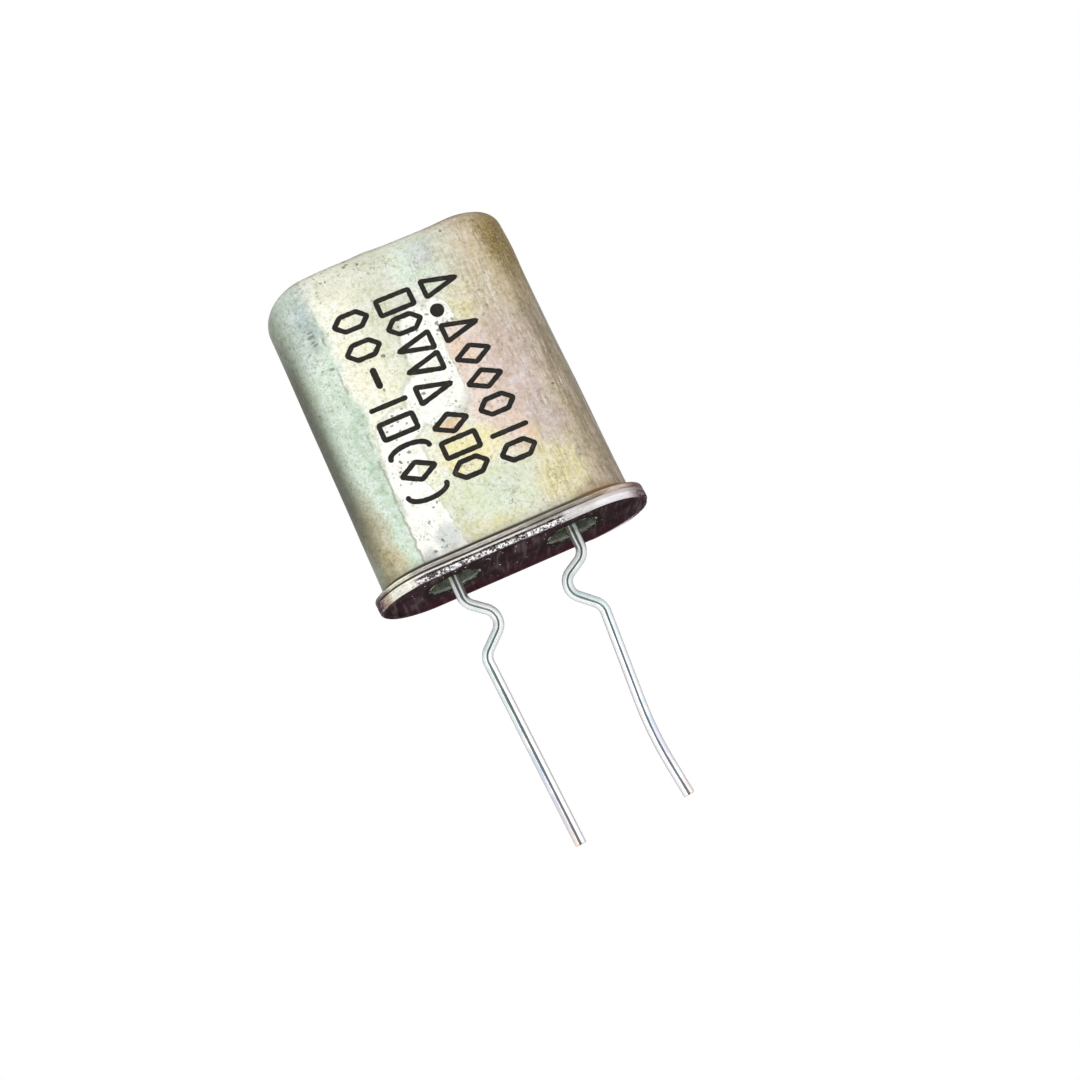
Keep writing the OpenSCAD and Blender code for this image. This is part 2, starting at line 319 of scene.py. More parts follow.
def make_base(material):
    """Base plate with its rim, recess and plug. On each half, a ring of faces runs between the
    hole for the glass and the half's outline, point = (1 - s) hole + s outline, on the
    underside and on the plug's top; the rim's profile is carried round the outer edge."""
    straight, turn = 84, 116
    columns = half_loop(34, straight, turn)
    outer_edge = columns[:, :2 * straight + turn + 1]
    low_r = RIM_IN - RECESS_EDGE_R
    top_r = PLUG_R - PLUG_EDGE_R
    edge = RIM_EDGE_R
    profile = np.concatenate([
        arc(low_r, RECESS - RECESS_EDGE_R, RECESS_EDGE_R, 90, 0, 6),
        [[RIM_IN, RIM_CHAMFER], [RIM_IN + RIM_CHAMFER, 0]],
        between((RIM_IN, 0), (FLANGE_R - edge, 0), 4),
        arc(FLANGE_R - edge, edge, edge, 270, 360, 14),
        between((FLANGE_R, edge), (FLANGE_R, JOINT - JOINT_EDGE_R), 14),
        arc(FLANGE_R - JOINT_EDGE_R, JOINT - JOINT_EDGE_R, JOINT_EDGE_R, 0, 90, 6),
        between((FLANGE_R - JOINT_EDGE_R, JOINT), (PLUG_R, JOINT), 3), [[PLUG_R, JOINT]],
        between((PLUG_R, JOINT), (PLUG_R, PLUG_TOP - PLUG_EDGE_R), 3),
        arc(top_r, PLUG_TOP - PLUG_EDGE_R, PLUG_EDGE_R, 0, 90, 7),
    ])
    _, nx, ny = outer_edge
    rim = carry(profile, outer_edge)
    grids = []
    for side in (1, -1):
        turned = np.array([side, 1, 1])
        edge_grid = rim * turned
        stand = rim_stand(edge_grid, profile, nx, ny, side)
        edge_grid[..., 0] += side * stand * nx
        edge_grid[..., 1] += stand * ny
        grids.append((edge_grid, False))
        rings = []
        for r, height in ((low_r, RECESS), (top_r, PLUG_TOP)):
            outer = carry(np.array([[r, height]]), columns)[0]
            a = np.arctan2(outer[:, 1], outer[:, 0] - LEAD_X)
            hole = np.stack([LEAD_X + SEAL_R * np.cos(a), SEAL_R * np.sin(a), outer[:, 2]], axis=-1)
            s = np.linspace(0, 1, 7)[:, None, None]
            grids.append(((hole * (1 - s) + outer * s) * turned, True))
            rings.append(hole)
        s = np.linspace(0, 1, 5)[:, None, None]
        level = rings[0] * (1 - s) + rings[1] * s
        a = np.arctan2(level[..., 1], level[..., 0] - LEAD_X)
        level[..., 0] = LEAD_X + SEAL_R * np.cos(a)
        level[..., 1] = SEAL_R * np.sin(a)
        grids.append((level * turned, True))
    add_piece("base_with_rim", grids, material, replaces=["base_plate"])


def make_seal(name, side, material, replaces):
    """Bead of glass turned about the lead: below, a dome z = RECESS - bulge (1 - (r/R)^2) that
    draws down onto the wire in a small fillet 0.045 exp(-(r - bore) / 0.06) and waves by a
    noise that fades out at the rim; above, flush with the plug."""
    bore, rim = LEAD_R - 0.004, SEAL_R + 0.003
    r = bore + (rim - bore) * np.linspace(0, 1, 30) ** 1.6
    fillet = 0.045 * np.exp(-(r - bore) / 0.06)
    dome = RECESS + 0.002 - SEAL_BULGE * (1 - (r / rim) ** 2) - fillet
    profile = np.concatenate([
        np.column_stack([r, dome]), between((rim, RECESS), (rim, PLUG_TOP), 3),
        between((rim + 0.1, PLUG_TOP), (bore - 0.01, PLUG_TOP), 12),
        between((bore, PLUG_TOP), (bore, dome[0]), 4), [[bore, dome[0]]],
    ])
    a = np.linspace(0, 2 * math.pi, 88, endpoint=False)
    grid = np.stack([side * LEAD_X + profile[:, :1] * np.cos(a), profile[:, :1] * np.sin(a),
                     profile[:, 1:] + 0 * a], axis=-1)
    inside = 1 - (profile[:, :1] / rim) ** 2
    wave = 0.010 * inside * lattice_noise(grid, 0.5, 31)
    grid[..., 2] += np.where(grid[..., 2] < RECESS, wave, 0)
    add_piece(name, [(grid, True)], material, replaces=[replaces])


# ---- Leads ----

def wire_line(steps):
    """A wire's axis from a list of (straight length, turn in degrees, radius of the bend), in
    its own plane: rows of (inwards, down, heading). Along a straight run the point moves by
    s (sin a, cos a); round a bend it turns about a point one radius to the side."""
    q, d, a = 0.0, 0.0, 0.0
    rows = []
    for length, turn, radius in steps:
        s = np.linspace(0, length, max(2, int(length / 0.07)))
        rows.append(np.column_stack([q + s * math.sin(a), d + s * math.cos(a), a + 0 * s]))
        q, d = rows[-1][-1, :2]
        if turn:
            hand = math.copysign(1, turn)
            end = a + math.radians(turn)
            b = np.linspace(a, end, int(abs(turn) / 3) + 3)[1:]
            rows.append(np.column_stack([q + hand * radius * (math.cos(a) - np.cos(b)),
                                         d + hand * radius * (np.sin(b) - math.sin(a)), b]))
            q, d, a = rows[-1][-1]
            rows[-1] = rows[-1][:-1]
    return np.concatenate(rows)


def leg(depth, slope, a, b):
    """Straight part between two bends that steps the axis sideways by depth."""
    cos = lambda angle: math.cos(math.radians(angle))
    return (depth - BEND_R * (cos(a) + cos(b) - 2 * cos(slope))) / math.sin(math.radians(slope))


def lead_steps(start, in_, out, slope_in, slope_out, lean, knee_run=0.0, knee=0.0):
    """Steps of a lead from its top down: straight for start below the base, inwards by in_, out
    by out, then on at its lean to the tip, with a gentle knee of radius KNEE_R after knee_run
    where knee is given. Slopes, lean and knee are in degrees."""
    sin = lambda angle: math.sin(math.radians(angle))
    cos = lambda angle: math.cos(math.radians(angle))
    leg_in, leg_out = leg(in_, slope_in, 0, 0), leg(out, slope_out, 0, lean)
    drop = (BEND_R * (2 * sin(slope_in) + 2 * sin(slope_out) + sin(lean))
            + leg_in * cos(slope_in) + leg_out * cos(slope_out))
    rest = LEAD_LENGTH - start - drop
    kink = [(LEAD_TOP + start, slope_in, BEND_R), (leg_in, -slope_in - slope_out, BEND_R),
            (leg_out, slope_out + lean, BEND_R)]
    if not knee:
        return kink + [(rest / cos(lean), 0, BEND_R)]
    knee_drop = knee_run * cos(lean) + KNEE_R * (sin(lean) + sin(knee - lean))
    return kink + [(knee_run, -knee, KNEE_R), ((rest - knee_drop) / cos(knee - lean), 0, BEND_R)]


def make_lead(name, side, steps, seed, material, replaces):
    """Round wire swept along its axis: point = axis + radius (cos f across + sin f back). The
    radius dips slightly where the forming dies pressed, and closes over a sheared tip. The
    outer side of the top is pressed flat for the clip. The attribute around holds
    R (sin g, cos g, 0), where g is the angle round the wire from its side that faces
    REFLECTION_LINE_FACING, the side on which the dark reflection line is painted."""
    line = wire_line(steps)
    tip = line[-1]
    along = np.array([-0.02, 0.0, 0.012, 0.02, SHEARED])[:, None] - SHEARED
    end = tip + along * [math.sin(tip[2]), math.cos(tip[2]), 0]
    line = np.concatenate([line[:1], line[:-1], end])
    radius = np.full(len(line), LEAD_R)
    radius[0] = 0
    radius[-5:] = LEAD_R * np.array([1, 0.97, 0.88, 0.7, 0])
    q, d, a = line.T
    f = np.linspace(0, 2 * math.pi, 40, endpoint=False)
    pressed = np.interp(d - LEAD_TOP, [0.3, 0.7, 2.6, 3.2], [0, 1, 1, 0])
    wear_and_shade_fade = 0.005 * lattice_noise(np.stack([d, a, 0 * d], axis=-1), 0.5, seed)
    radius = radius * (1 + (wear_and_shade_fade - 0.006) * pressed / LEAD_R)
    across = radius[:, None] * np.cos(f)
    top = (d < WELD_LENGTH)[:, None]
    across = np.where(top & (across < -(LEAD_R - LEAD_FLAT)), -(LEAD_R - LEAD_FLAT), across)
    inwards = q[:, None] + across * np.cos(a)[:, None]
    down = d[:, None] - across * np.sin(a)[:, None]
    grid = np.stack([side * (LEAD_X - inwards), radius[:, None] * np.sin(f) + 0 * down,
                     LEAD_TOP - down], axis=-1)
    g = f - np.arctan2(REFLECTION_LINE_FACING[1], REFLECTION_LINE_FACING[2] * np.sin(a) - side * REFLECTION_LINE_FACING[0] * np.cos(a))[:, None]
    around = LEAD_R * np.stack([np.sin(g), np.cos(g), 0 * g], axis=-1)
    add_piece(name, [(grid, True)], material, sharp=50, replaces=[replaces],
              around=around)


# ---- Printed marks ----

INK_WIDTH = 0.21
INK_HEIGHT = 0.012
SKIN = 0.003


def ring(radius):
    """Closed round line."""
    a = np.linspace(0, 2 * math.pi, 40)
    return radius * np.column_stack([np.cos(a), np.sin(a)])


def polygon(points, corner):
    """Closed line round straight sides, each corner cut by a curve that blends its two sides:
    p = (1-t)^2 a + 2 t (1-t) corner + t^2 b."""
    points = np.array(points, float)
    t = np.linspace(0, 1, 9)[:, None]
    line = []
    for before, here, after in zip(np.roll(points, 1, 0), points, np.roll(points, -1, 0)):
        a = here + corner * (before - here) / np.linalg.norm(before - here)
        b = here + corner * (after - here) / np.linalg.norm(after - here)
        line.append((1 - t) ** 2 * a + 2 * t * (1 - t) * here + t ** 2 * b)
    line = np.concatenate(line)
    return np.concatenate([line, line[:1]])


def even(line, step=0.03):
    """The same line with points about step apart along its length."""
    length = np.append(0, np.cumsum(np.linalg.norm(np.diff(line, axis=0), axis=1)))
    s = np.linspace(0, length[-1], max(3, int(length[-1] / step) + 1))
    return np.column_stack([np.interp(s, length, line[:, k]) for k in (0, 1)])


def stroke(line, closed, seed, width):
    """Grid of a stroke of ink on the face: across the line, a film INK_HEIGHT thick that falls
    off at both edges, on the can's own waves. An open stroke ends in half circles."""
    line = even(line)
    step = np.gradient(line, axis=0)
    if closed:
        line = line[:-1]
        step = np.roll(line, -1, 0) - np.roll(line, 1, 0)
    step = step / np.linalg.norm(step, axis=1, keepdims=True)
    half = np.full(len(line), width / 2)
    if not closed:
        b = np.radians(np.linspace(90, 0, 7))
        cap = width / 2 * np.sin(b)[:, None]
        line = np.concatenate([line[0] - cap * step[0], line[1:-1],
                               line[-1] + cap[::-1] * step[-1]])
        step = np.concatenate([np.repeat(step[:1], 7, 0), step[1:-1], np.repeat(step[-1:], 7, 0)])
        half = np.concatenate([width / 2 * np.cos(b), half[1:-1], width / 2 * np.cos(b[::-1])])
    side = np.column_stack([step[:, 1], -step[:, 0]])
    place = np.stack([line[:, 0], 0 * line[:, 0], line[:, 1]], axis=-1)
    half = half * (1 + 0.09 * lattice_noise(place, 0.11, seed))
    s = np.array([-1, -0.94, -0.75, -0.3, 0.3, 0.75, 0.94, 1, 0.5, -0.5])
    lift = np.array([0, 0.6, 0.9, 1, 1, 0.9, 0.6, 0, 0, 0])
    flat = line[:, None] + half[:, None, None] * s[:, None] * side[:, None]
    face = np.stack([flat[..., 0], np.full(flat.shape[:2], FRONT * CAN_R), flat[..., 1]], axis=-1)
    stand = CAN_R + sheet_wave(face) - SKIN + lift * (INK_HEIGHT + SKIN)
    face[..., 1] = FRONT * stand
    return np.concatenate([face, face[:1]]) if closed else face


def make_marks(material):
    """Three rows of plain shapes, read from the top of the can down: triangles, diamonds,
    frames with four and six sides, a dot, a dash, bars and arcs. Shapes are drawn upright at
    the origin, with their height along +X, and set at their place in the row."""
    # Half height and half width of a shape, and how far its corners are cut
    p, q, corner = 0.67, 0.32, 0.05
    a = np.radians(np.linspace(-90, 90, 40))
    bow = np.column_stack([1.15 * p * np.sin(a), 0.32 * np.cos(a) - 0.16])
    shapes = {
        "triangle": (polygon([(p, 0), (-p, 1.1 * q), (-p, -1.1 * q)], corner), True),
        "wedge": (polygon([(-p, 0), (p, -1.1 * q), (p, 1.1 * q)], corner), True),
        "diamond": (polygon([(p, 0), (0, 1.15 * q), (-p, 0), (0, -1.15 * q)], corner), True),
        "six": (polygon([(p, 0), (p / 2, q), (-p / 2, q), (-p, 0), (-p / 2, -q), (p / 2, -q)],
                        corner), True),
        "frame": (polygon([(p, q), (-p, q), (-p, -q), (p, -q)], corner), True),
        "bar": (np.array([(-p, 0.0), (p, 0.0)]), False),
        "dash": (np.array([(0.0, -0.32), (0.0, 0.32)]), False),
        "arc": (bow, False), "back_arc": (bow * [1, -1], False),
        "dot": (ring(0.14), True),
    }
    rows = [
        (1.62, [("triangle", 10.7), ("triangle", 8.72), ("diamond", 7.55), ("diamond", 6.45),
                ("six", 5.33), ("bar", 4.2), ("six", 3.35)]),
        (1.08, [("dot", 9.71)]),
        (-0.27, [("frame", 10.65), ("six", 9.7), ("wedge", 8.72), ("wedge", 7.8),
                 ("triangle", 6.8), ("diamond", 5.35), ("frame", 4.4), ("six", 3.45)]),
        (-2.11, [("six", 10.6), ("six", 9.35), ("dash", 8.1), ("bar", 6.95), ("frame", 6.0),
                 ("arc", 5.05), ("diamond", 4.1), ("back_arc", 3.1)]),
    ]
    wider = {"dot": 0.29, "dash": 0.27}
    grids = []
    for x, row in rows:
        for shape, z in row:
            line, closed = shapes[shape]
            width = wider.get(shape, INK_WIDTH)
            grids.append((stroke(line + [x, z], closed, len(grids), width), True))
    add_piece("printed_marks", grids, material, sharp=80)


# ---- Weld spatter ----

DROPS = 70
CLEAR = 0.1


def make_spatter(material):
    """Small flattened drops from the weld, scattered on the underside clear of the glass, half
    of them along the front lip: each is a grid of r = size cos v, wider to one side, and
    height = 0.7 size sin v, closed by a last row that falls together at its middle."""
    draw = np.random.default_rng(5)
    x = draw.uniform(-4.6, 4.6, DROPS)
    lip, plate = draw.uniform(-1.9, -1.2, DROPS), draw.uniform(-1.2, 1.8, DROPS)
    y = np.where(np.arange(DROPS) % 2, lip, plate)
    size = draw.uniform(0.012, 0.035, DROPS)
    v = np.radians(np.append(np.linspace(90, -20, 5), -20))[:, None]
    out = np.append(np.cos(v[:-1]), [[0]], axis=0)
    a = np.linspace(0, 2 * math.pi, 9, endpoint=False)
    grids = []
    for k in range(DROPS):
        off_glass = math.hypot(abs(x[k]) - LEAD_X, y[k]) > SEAL_R + CLEAR
        on_plate = math.hypot(max(abs(x[k]) - HALF_MIDDLE, 0), y[k]) < RIM_IN - CLEAR
        if off_glass and on_plate:
            wide = size[k] * (1 + 0.5 * np.cos(a + k))
            grids.append((np.stack([x[k] + wide * out * np.cos(a),
                                    y[k] + size[k] * out * np.sin(a),
                                    RECESS - 0.7 * size[k] * np.sin(v) + 0 * a], axis=-1), True))
    add_piece("weld_spatter", grids, material, sharp=180)


# ---- Materials ----
# A colour is written as display values from 0 to 255: (red, green, blue).

def linear(tint):
    """A colour of display values c in linear light, as a socket takes it: c / 12.92 for a dark
    part of it, else ((c + 0.055) / 1.055)^2.4."""
    c = np.array(tint) / 255
    light = np.where(c <= 0.04045, c / 12.92, ((c + 0.055) / 1.055) ** 2.4)
    return (*light, 1.0)


class Signal:
    """What a node puts out. + - * / and abs() add the maths node that works them out, part by
    part where a vector takes part."""

    __array_ufunc__ = None

    def __init__(self, nodes, socket):
        self.nodes, self.socket = nodes, socket

    def __abs__(self):
        return self.nodes.math("ABSOLUTE", self)


for sign, operation in (("add", "ADD"), ("sub", "SUBTRACT"), ("mul", "MULTIPLY"),
                        ("truediv", "DIVIDE")):
    setattr(Signal, f"__{sign}__", lambda a, b, name=operation: a.nodes.math(name, a, b))
    setattr(Signal, f"__r{sign}__", lambda b, a, name=operation: b.nodes.math(name, a, b))


class Nodes:
    """Adds nodes to one tree. An input is a number, a vector, a colour or a Signal."""

    def __init__(self, tree):
        self.tree = tree

    def make(self, kind, inputs, **settings):
        """Adds a node with these settings and these inputs."""
        made = self.tree.nodes.new("ShaderNode" + kind)
        for key, value in settings.items():
            setattr(made, key, value)
        for key, value in inputs.items():
            if isinstance(value, Signal):
                self.tree.links.new(value.socket, made.inputs[key])
            else:
                made.inputs[key].default_value = value
        return made

    def add(self, kind, inputs, *outputs, **settings):
        """Adds a node and returns what it puts out by these names, or its first output."""
        made = self.make(kind, inputs, **settings)
        found = [Signal(self, made.outputs[key]) for key in outputs or (0,)]
        return found if len(outputs) > 1 else found[0]

    def math(self, operation, a, b=0.0, clamp=False):
        """a operation b, part by part where a vector takes part."""
        vector = any(isinstance(v, tuple) or isinstance(v, Signal) and v.socket.type == "VECTOR"
                     for v in (a, b))
        if not vector:
            return self.add("Math", {0: a, 1: b}, operation=operation, use_clamp=clamp)
        if isinstance(b, (tuple, Signal)):
            return self.add("VectorMath", {0: a, 1: b}, operation=operation)
        return self.add("VectorMath", {0: a, "Scale": b}, operation="SCALE")

    def larger(self, a, b):
        """The larger of a and b."""
        return self.math("MAXIMUM", a, b)

    def over(self, value, limit):
        """1 where value is more than limit, else 0."""
        return self.math("GREATER_THAN", value, limit)

    def length(self, vector):
        """Length of a vector, sqrt(x^2 + y^2 + z^2)."""
        return self.add("VectorMath", {0: vector}, "Value", operation="LENGTH")

    def split(self, vector):
        """The three parts of a vector."""
        return self.add("SeparateXYZ", {0: vector}, 0, 1, 2)

    def mix(self, factor, a, b, blend="MIX"):
        """(1 - factor) a + factor b, where b is first blended with a by another blend."""
        a, b = (linear(tint) if isinstance(tint, tuple) else tint for tint in (a, b))
        return self.add("Mix", {0: factor, 6: a, 7: b}, 2, data_type="RGBA", blend_type=blend,
                        clamp_factor=True)

    def rise(self, value, start, end):
        """0 before start and 1 after end, with a smooth step between; end may be lower."""
        return self.add("MapRange", {0: value, 1: start, 2: end},
                        interpolation_type="SMOOTHSTEP")

    def band(self, value, middle, reach, core):
        """1 within core of middle and 0 beyond reach of it."""
        return self.rise(abs(value - middle), reach, core)

    def ramp(self, value, stops):
        """Colour band: stops are (position from 0 to 1, colour)."""
        made = self.make("ValToRGB", {0: value})
        band = made.color_ramp.elements
        while len(band) < len(stops):
            band.new(0.5)
        for element, (at, _) in zip(band, stops):
            element.position = at
        for element, (_, tint) in zip(band, stops):
            element.color = linear(tint)
        return Signal(self, made.outputs[0])

    def noise(self, place, cell, detail=3.0, roughness=0.55, output="Fac"):
        """Cloudy noise from 0 to 1, with lumps about one cell across."""
        return self.add("TexNoise", {"Vector": place, "Scale": 1 / cell, "Detail": detail,
                                     "Roughness": roughness}, output)

    def drift(self, place, cell, detail):
        """Three such noises from -0.5 to 0.5, to shift a pattern by."""
        cloud = self.noise(place, cell, detail, output="Color")
        return self.add("VectorMath", {0: cloud, 1: (0.5, 0.5, 0.5)}, operation="SUBTRACT")

    def field(self, place, middle, half, turn, softness, side=FRONT):
        """Soft-edged oval field on the front or back face, by its middle (x, z), half width
        and height, and turn in degrees."""
        return self.add("Group", {
            "Position": place, "Centre": (middle[0], side * CAN_R, middle[1]),
            "Half Size": (half[0], FIELD_DEPTH, half[1]), "Turn": math.radians(turn),
            "Softness": softness}, node_tree=FIELD)

    def specks(self, place, spacing, size, share):
        """Mask of specks up to size in radius, one to a cell of spacing, in a share of the
        cells."""
        return self.add("Group", {"Position": place, "Spacing": spacing, "Size": size,
                                  "Share": share}, node_tree=SPECKS)

    def grain(self, place, cell):
        """Grain from 0 to 1, with lumps about cell across, given along each axis."""
        return self.add("Group", {"Position": place, "Cell": cell}, node_tree=GRAIN)

    def reach(self, place):
        """How far a point stands out from the can's middle line."""
        return self.add("Group", {"Position": place}, node_tree=REACH)

    def bump(self, height, depth):
        """Normal from a height between 0 and 1, depth millimetres deep."""
        return self.add("Bump", {"Height": height, "Distance": depth * MM, "Strength": 1.0})


class Group(Nodes):
    """Shader group. Its inputs are given as name=default, three numbers making a vector, and
    are kept as signals in given."""

    def __init__(self, name, **inputs):
        super().__init__(bpy.data.node_groups.new(name, "ShaderNodeTree"))
        for label, value in inputs.items():
            kind = "NodeSocketVector" if isinstance(value, tuple) else "NodeSocketFloat"
            socket = self.tree.interface.new_socket(label.replace("_", " "), in_out="INPUT",
                                                    socket_type=kind)
            socket.default_value = value
        source = self.tree.nodes.new("NodeGroupInput")
        self.given = [Signal(self, source.outputs[k]) for k in range(len(inputs))]

    def puts_out(self, label, signal):
        """Makes the signal the group's output by this name, and returns the group's tree."""
        self.tree.interface.new_socket(label, in_out="OUTPUT", socket_type="NodeSocketFloat")
        result = self.tree.nodes.new("NodeGroupOutput")
        self.tree.links.new(signal.socket, result.inputs[label])
        return self.tree


def soft_field_group():
    """Mask of a soft-edged oval field on one side of the part: 1 inside and 0 outside, with its
    edge where the point, from the centre and turned, is one half size away."""
    n = Group("soft_field", Position=(0, 0, 0), Centre=(0, 0, 0), Half_Size=(1, 1, 1), Turn=0.0,
              Softness=0.3)
    place, centre, half, turn, softness = n.given
    turned = n.add("VectorRotate", {"Vector": place - centre, "Angle": turn},
                   rotation_type="Y_AXIS")
    return n.puts_out("Mask", n.rise(n.length(turned / half), 1.0 + softness, 1.0 - softness))


def speck_group():
    """Mask of scattered specks: a cell with a random number u below share has a speck of radius
    size sqrt(share - u) about its point."""
    n = Group("specks", Position=(0, 0, 0), Spacing=0.3, Size=0.05, Share=0.5)
    place, spacing, size, share = n.given
    tint, away = n.add("TexVoronoi", {"Vector": place, "Scale": 1.0 / spacing}, "Color", "Distance")
    kept = n.math("SUBTRACT", share, n.add("SeparateColor", {0: tint}), clamp=True)
    radius = size / spacing * n.math("POWER", kept, 0.5)
    return n.puts_out("Mask", n.rise(away, radius + 0.001, radius * 0.55) * n.over(kept, 0.0))


def grain_group():
    """Grain of a drawn or rolled metal, stretched as its cell is: 0.6 of a coarse noise and 0.4
    of a fine one."""
    n = Group("metal_grain", Position=(0, 0, 0), Cell=(1, 1, 1))
    place, cell = n.given
    place = place / cell
    return n.puts_out("Value", n.noise(place, 1.0, 4.0, 0.6) * 0.6
                      + n.noise(place, 0.23, 2.0, 0.6) * 0.4)


def reach_group():
    """How far a point stands out from the can's middle line, the r of every profile here:
    sqrt(max(|x| - HALF_MIDDLE, 0)^2 + y^2)."""
    n = Group("reach", Position=(0, 0, 0))
    x, y, _ = n.split(n.given[0])
    past = n.larger(abs(x) - HALF_MIDDLE, 0.0)
    return n.puts_out("Reach", n.length(n.add("CombineXYZ", {0: past, 1: y})))


FIELD_DEPTH = 2.4
FIELD, SPECKS, GRAIN, REACH = soft_field_group(), speck_group(), grain_group(), reach_group()


class Finish(Nodes):
    """Material with one Principled shader, on which every plain setting is set directly.
    place is a point of the surface in millimetres, and x, y, z are its parts."""

    def __init__(self, name, **settings):
        self.material = bpy.data.materials.new(name)
        self.material.use_nodes = True
        super().__init__(self.material.node_tree)
        self.shader = self.tree.nodes["Principled BSDF"]
        for key, value in settings.items():
            self.shader.inputs[key.replace("_", " ")].default_value = value
        self.place = self.add("TexCoord", {}, "Object") * (1 / MM)
        self.x, self.y, self.z = self.split(self.place)

    def done(self, **signals):
        """Links each signal to the shader's input of its name, and returns the material."""
        for key, signal in signals.items():
            self.tree.links.new(signal.socket, self.shader.inputs[key.replace("_", " ")])
        return self.material


WHITE = (251, 252, 247)
PINK = (232, 212, 205)
MAUVE = (208, 190, 185)
YELLOW = (240, 232, 190)
STRAW = (228, 220, 178)
LEAF = (222, 229, 205)
SAGE = (214, 218, 198)
PEACH = (234, 202, 170)
LILAC = (204, 188, 190)
MINT = (216, 232, 218)
SLATE = (192, 205, 200)
GOLD = (112, 92, 26)
ASH = (204, 209, 208)
THIN_SMEAR = (226, 229, 214)
SMEAR_EDGE = (150, 152, 124)
HAIRLINE = (110, 112, 92)
GOLD_FLECK = (122, 96, 30)
GOLD_GLINT = (216, 198, 138)
OLIVE = (158, 150, 108)
SMALL_SPECK = (112, 110, 84)
LARGE_SPECK = (86, 84, 62)
# Painted shade in the crease above the flange, from the left to the right
CREASE_SHADE_LEFT = (62, 56, 46)
CREASE_SHADE_MIDDLE = (84, 80, 66)
CREASE_SHADE_RIGHT = (122, 92, 60)
BROWNED_LEFT = (112, 98, 84)
BROWNED_RIGHT = (96, 74, 30)
JOINT_SHADOW = (66, 60, 57)
FULL = (255, 255, 255)

# x of the left bend of the printed face, and of a spot of rust on the rim
LEFT_BEND = -3.33
RUST_X = -3.86

# Clouds of the can's passivation film on the printed face:
# (colour, middle x and z, half width and height, turn in degrees, softness, strength)
FRONT_CLOUDS = [
    (MINT, (-4.0, 6.6), (0.72, 7.5), 0, 0.3, 0.85),
    (SLATE, (-4.0, 11.3), (0.7, 1.5), 0, 0.5, 0.85),
    (SLATE, (-3.5, 12.4), (0.6, 0.6), 0, 0.5, 0.25),
    (MINT, (-3.9, 3.0), (0.8, 1.6), 0, 0.5, 0.6),
    ((186, 176, 146), (-4.7, 2.4), (0.55, 1.9), 0, 0.5, 0.85),
    ((200, 188, 152), (-4.4, 1.0), (0.5, 1.2), 0, 0.5, 0.8),
    ((190, 208, 192), (-3.6, 5.0), (0.35, 3.4), 0, 0.5, 0.8),
    ((170, 188, 192), (-3.75, 11.1), (0.32, 0.8), 0, 0.5, 0.6),
    ((242, 245, 238), (0.75, 11.9), (0.35, 1.3), 0, 0.5, 0.6),
    ((236, 239, 232), (2.0, 11.6), (0.4, 1.3), 0, 0.5, 0.5),
    ((226, 214, 186), (3.65, 10.8), (0.4, 2.0), 0, 0.5, 0.6),
    ((172, 154, 140), (3.4, 7.4), (0.6, 1.5), 0, 0.5, 0.6),
    ((138, 124, 106), (4.3, 7.6), (0.4, 2.1), 0, 0.5, 0.5),
    (SAGE, (-0.9, 10.9), (0.85, 2.2), 0, 0.6, 0.5),
    (YELLOW, (-2.2, 8.4), (0.7, 1.6), 12, 0.6, 0.15),
    (MINT, (1.3, 11.8), (1.3, 1.4), 0, 0.5, 0.7),
    (ASH, (1.5, 12.2), (0.6, 0.6), 0, 0.6, 0.8),
    ((216, 205, 182), (2.9, 9.6), (0.9, 3.4), 6, 0.6, 0.4),
    (YELLOW, (1.9, 9.3), (0.7, 1.0), 0, 0.5, 0.5),
    (PINK, (1.75, 6.4), (1.25, 2.7), 8, 0.15, 0.85),
    (MAUVE, (2.9, 6.4), (0.9, 2.5), 0, 0.5, 0.8),
    (PEACH, (1.3, 7.9), (0.4, 0.6), 0, 0.6, 0.5),
    (YELLOW, (0.0, 4.2), (1.35, 0.7), 0, 0.25, 0.9),
    (PEACH, (-0.3, 5.3), (0.6, 0.45), 0, 0.4, 0.85),
    (PEACH, (2.0, 3.7), (0.45, 0.6), 0, 0.6, 0.6),
    (LILAC, (3.1, 4.1), (0.5, 1.1), 0, 0.5, 0.6),
    (LEAF, (0.1, 2.1), (2.3, 1.25), 0, 0.35, 0.9),
    (MINT, (0.6, 2.3), (0.8, 0.5), 0, 0.6, 0.6),
    (STRAW, (2.7, 1.9), (0.95, 1.2), 0, 0.3, 0.95),
    (STRAW, (-0.6, 0.95), (1.3, 0.55), 0, 0.6, 0.6),
    ((212, 214, 192), (-1.5, 1.4), (0.6, 1.0), 0, 0.5, 0.6),
    ((214, 216, 202), (-0.2, 11.6), (0.4, 1.2), 0, 0.5, 0.5),
    ((218, 220, 204), (-2.4, 12.3), (0.6, 0.5), 0, 0.5, 0.5),
    ((184, 168, 142), (3.4, 0.9), (0.6, 0.4), 0, 0.5, 0.7),
    ((126, 112, 96), (4.95, 0.9), (0.3, 0.5), 0, 0.5, 0.7),
    ((212, 210, 184), (0.8, 2.4), (0.9, 0.5), 0, 0.5, 0.35),
    ((172, 162, 150), (4.9, 7.8), (0.25, 2.8), 0, 0.5, 0.6),
    ((176, 160, 142), (3.95, 10.2), (0.3, 1.0), 0, 0.5, 0.25),
    ((160, 140, 88), (3.8, 12.7), (0.6, 0.6), 0, 0.5, 0.15),
    (GOLD, (4.85, 12.15), (0.78, 1.75), 0, 0.45, 0.82),
]
# White smears with sharp, ragged borders that lie over the clouds:
# (middle x and z, half width and height, turn in degrees, softness)
SMEARS = [
    ((0.2, 8.1), (0.95, 2.5), 0, 0.16),
    ((-0.5, 6.6), (1.1, 1.15), 0, 0.12),
    ((1.15, 9.6), (0.45, 0.75), 0, 0.1),
    ((-2.1, 5.9), (1.0, 0.75), 18, 0.12),
    ((-2.45, 4.2), (0.85, 2.0), 0, 0.12),
    ((-2.45, 1.6), (0.95, 2.6), 0, 0.12),
]
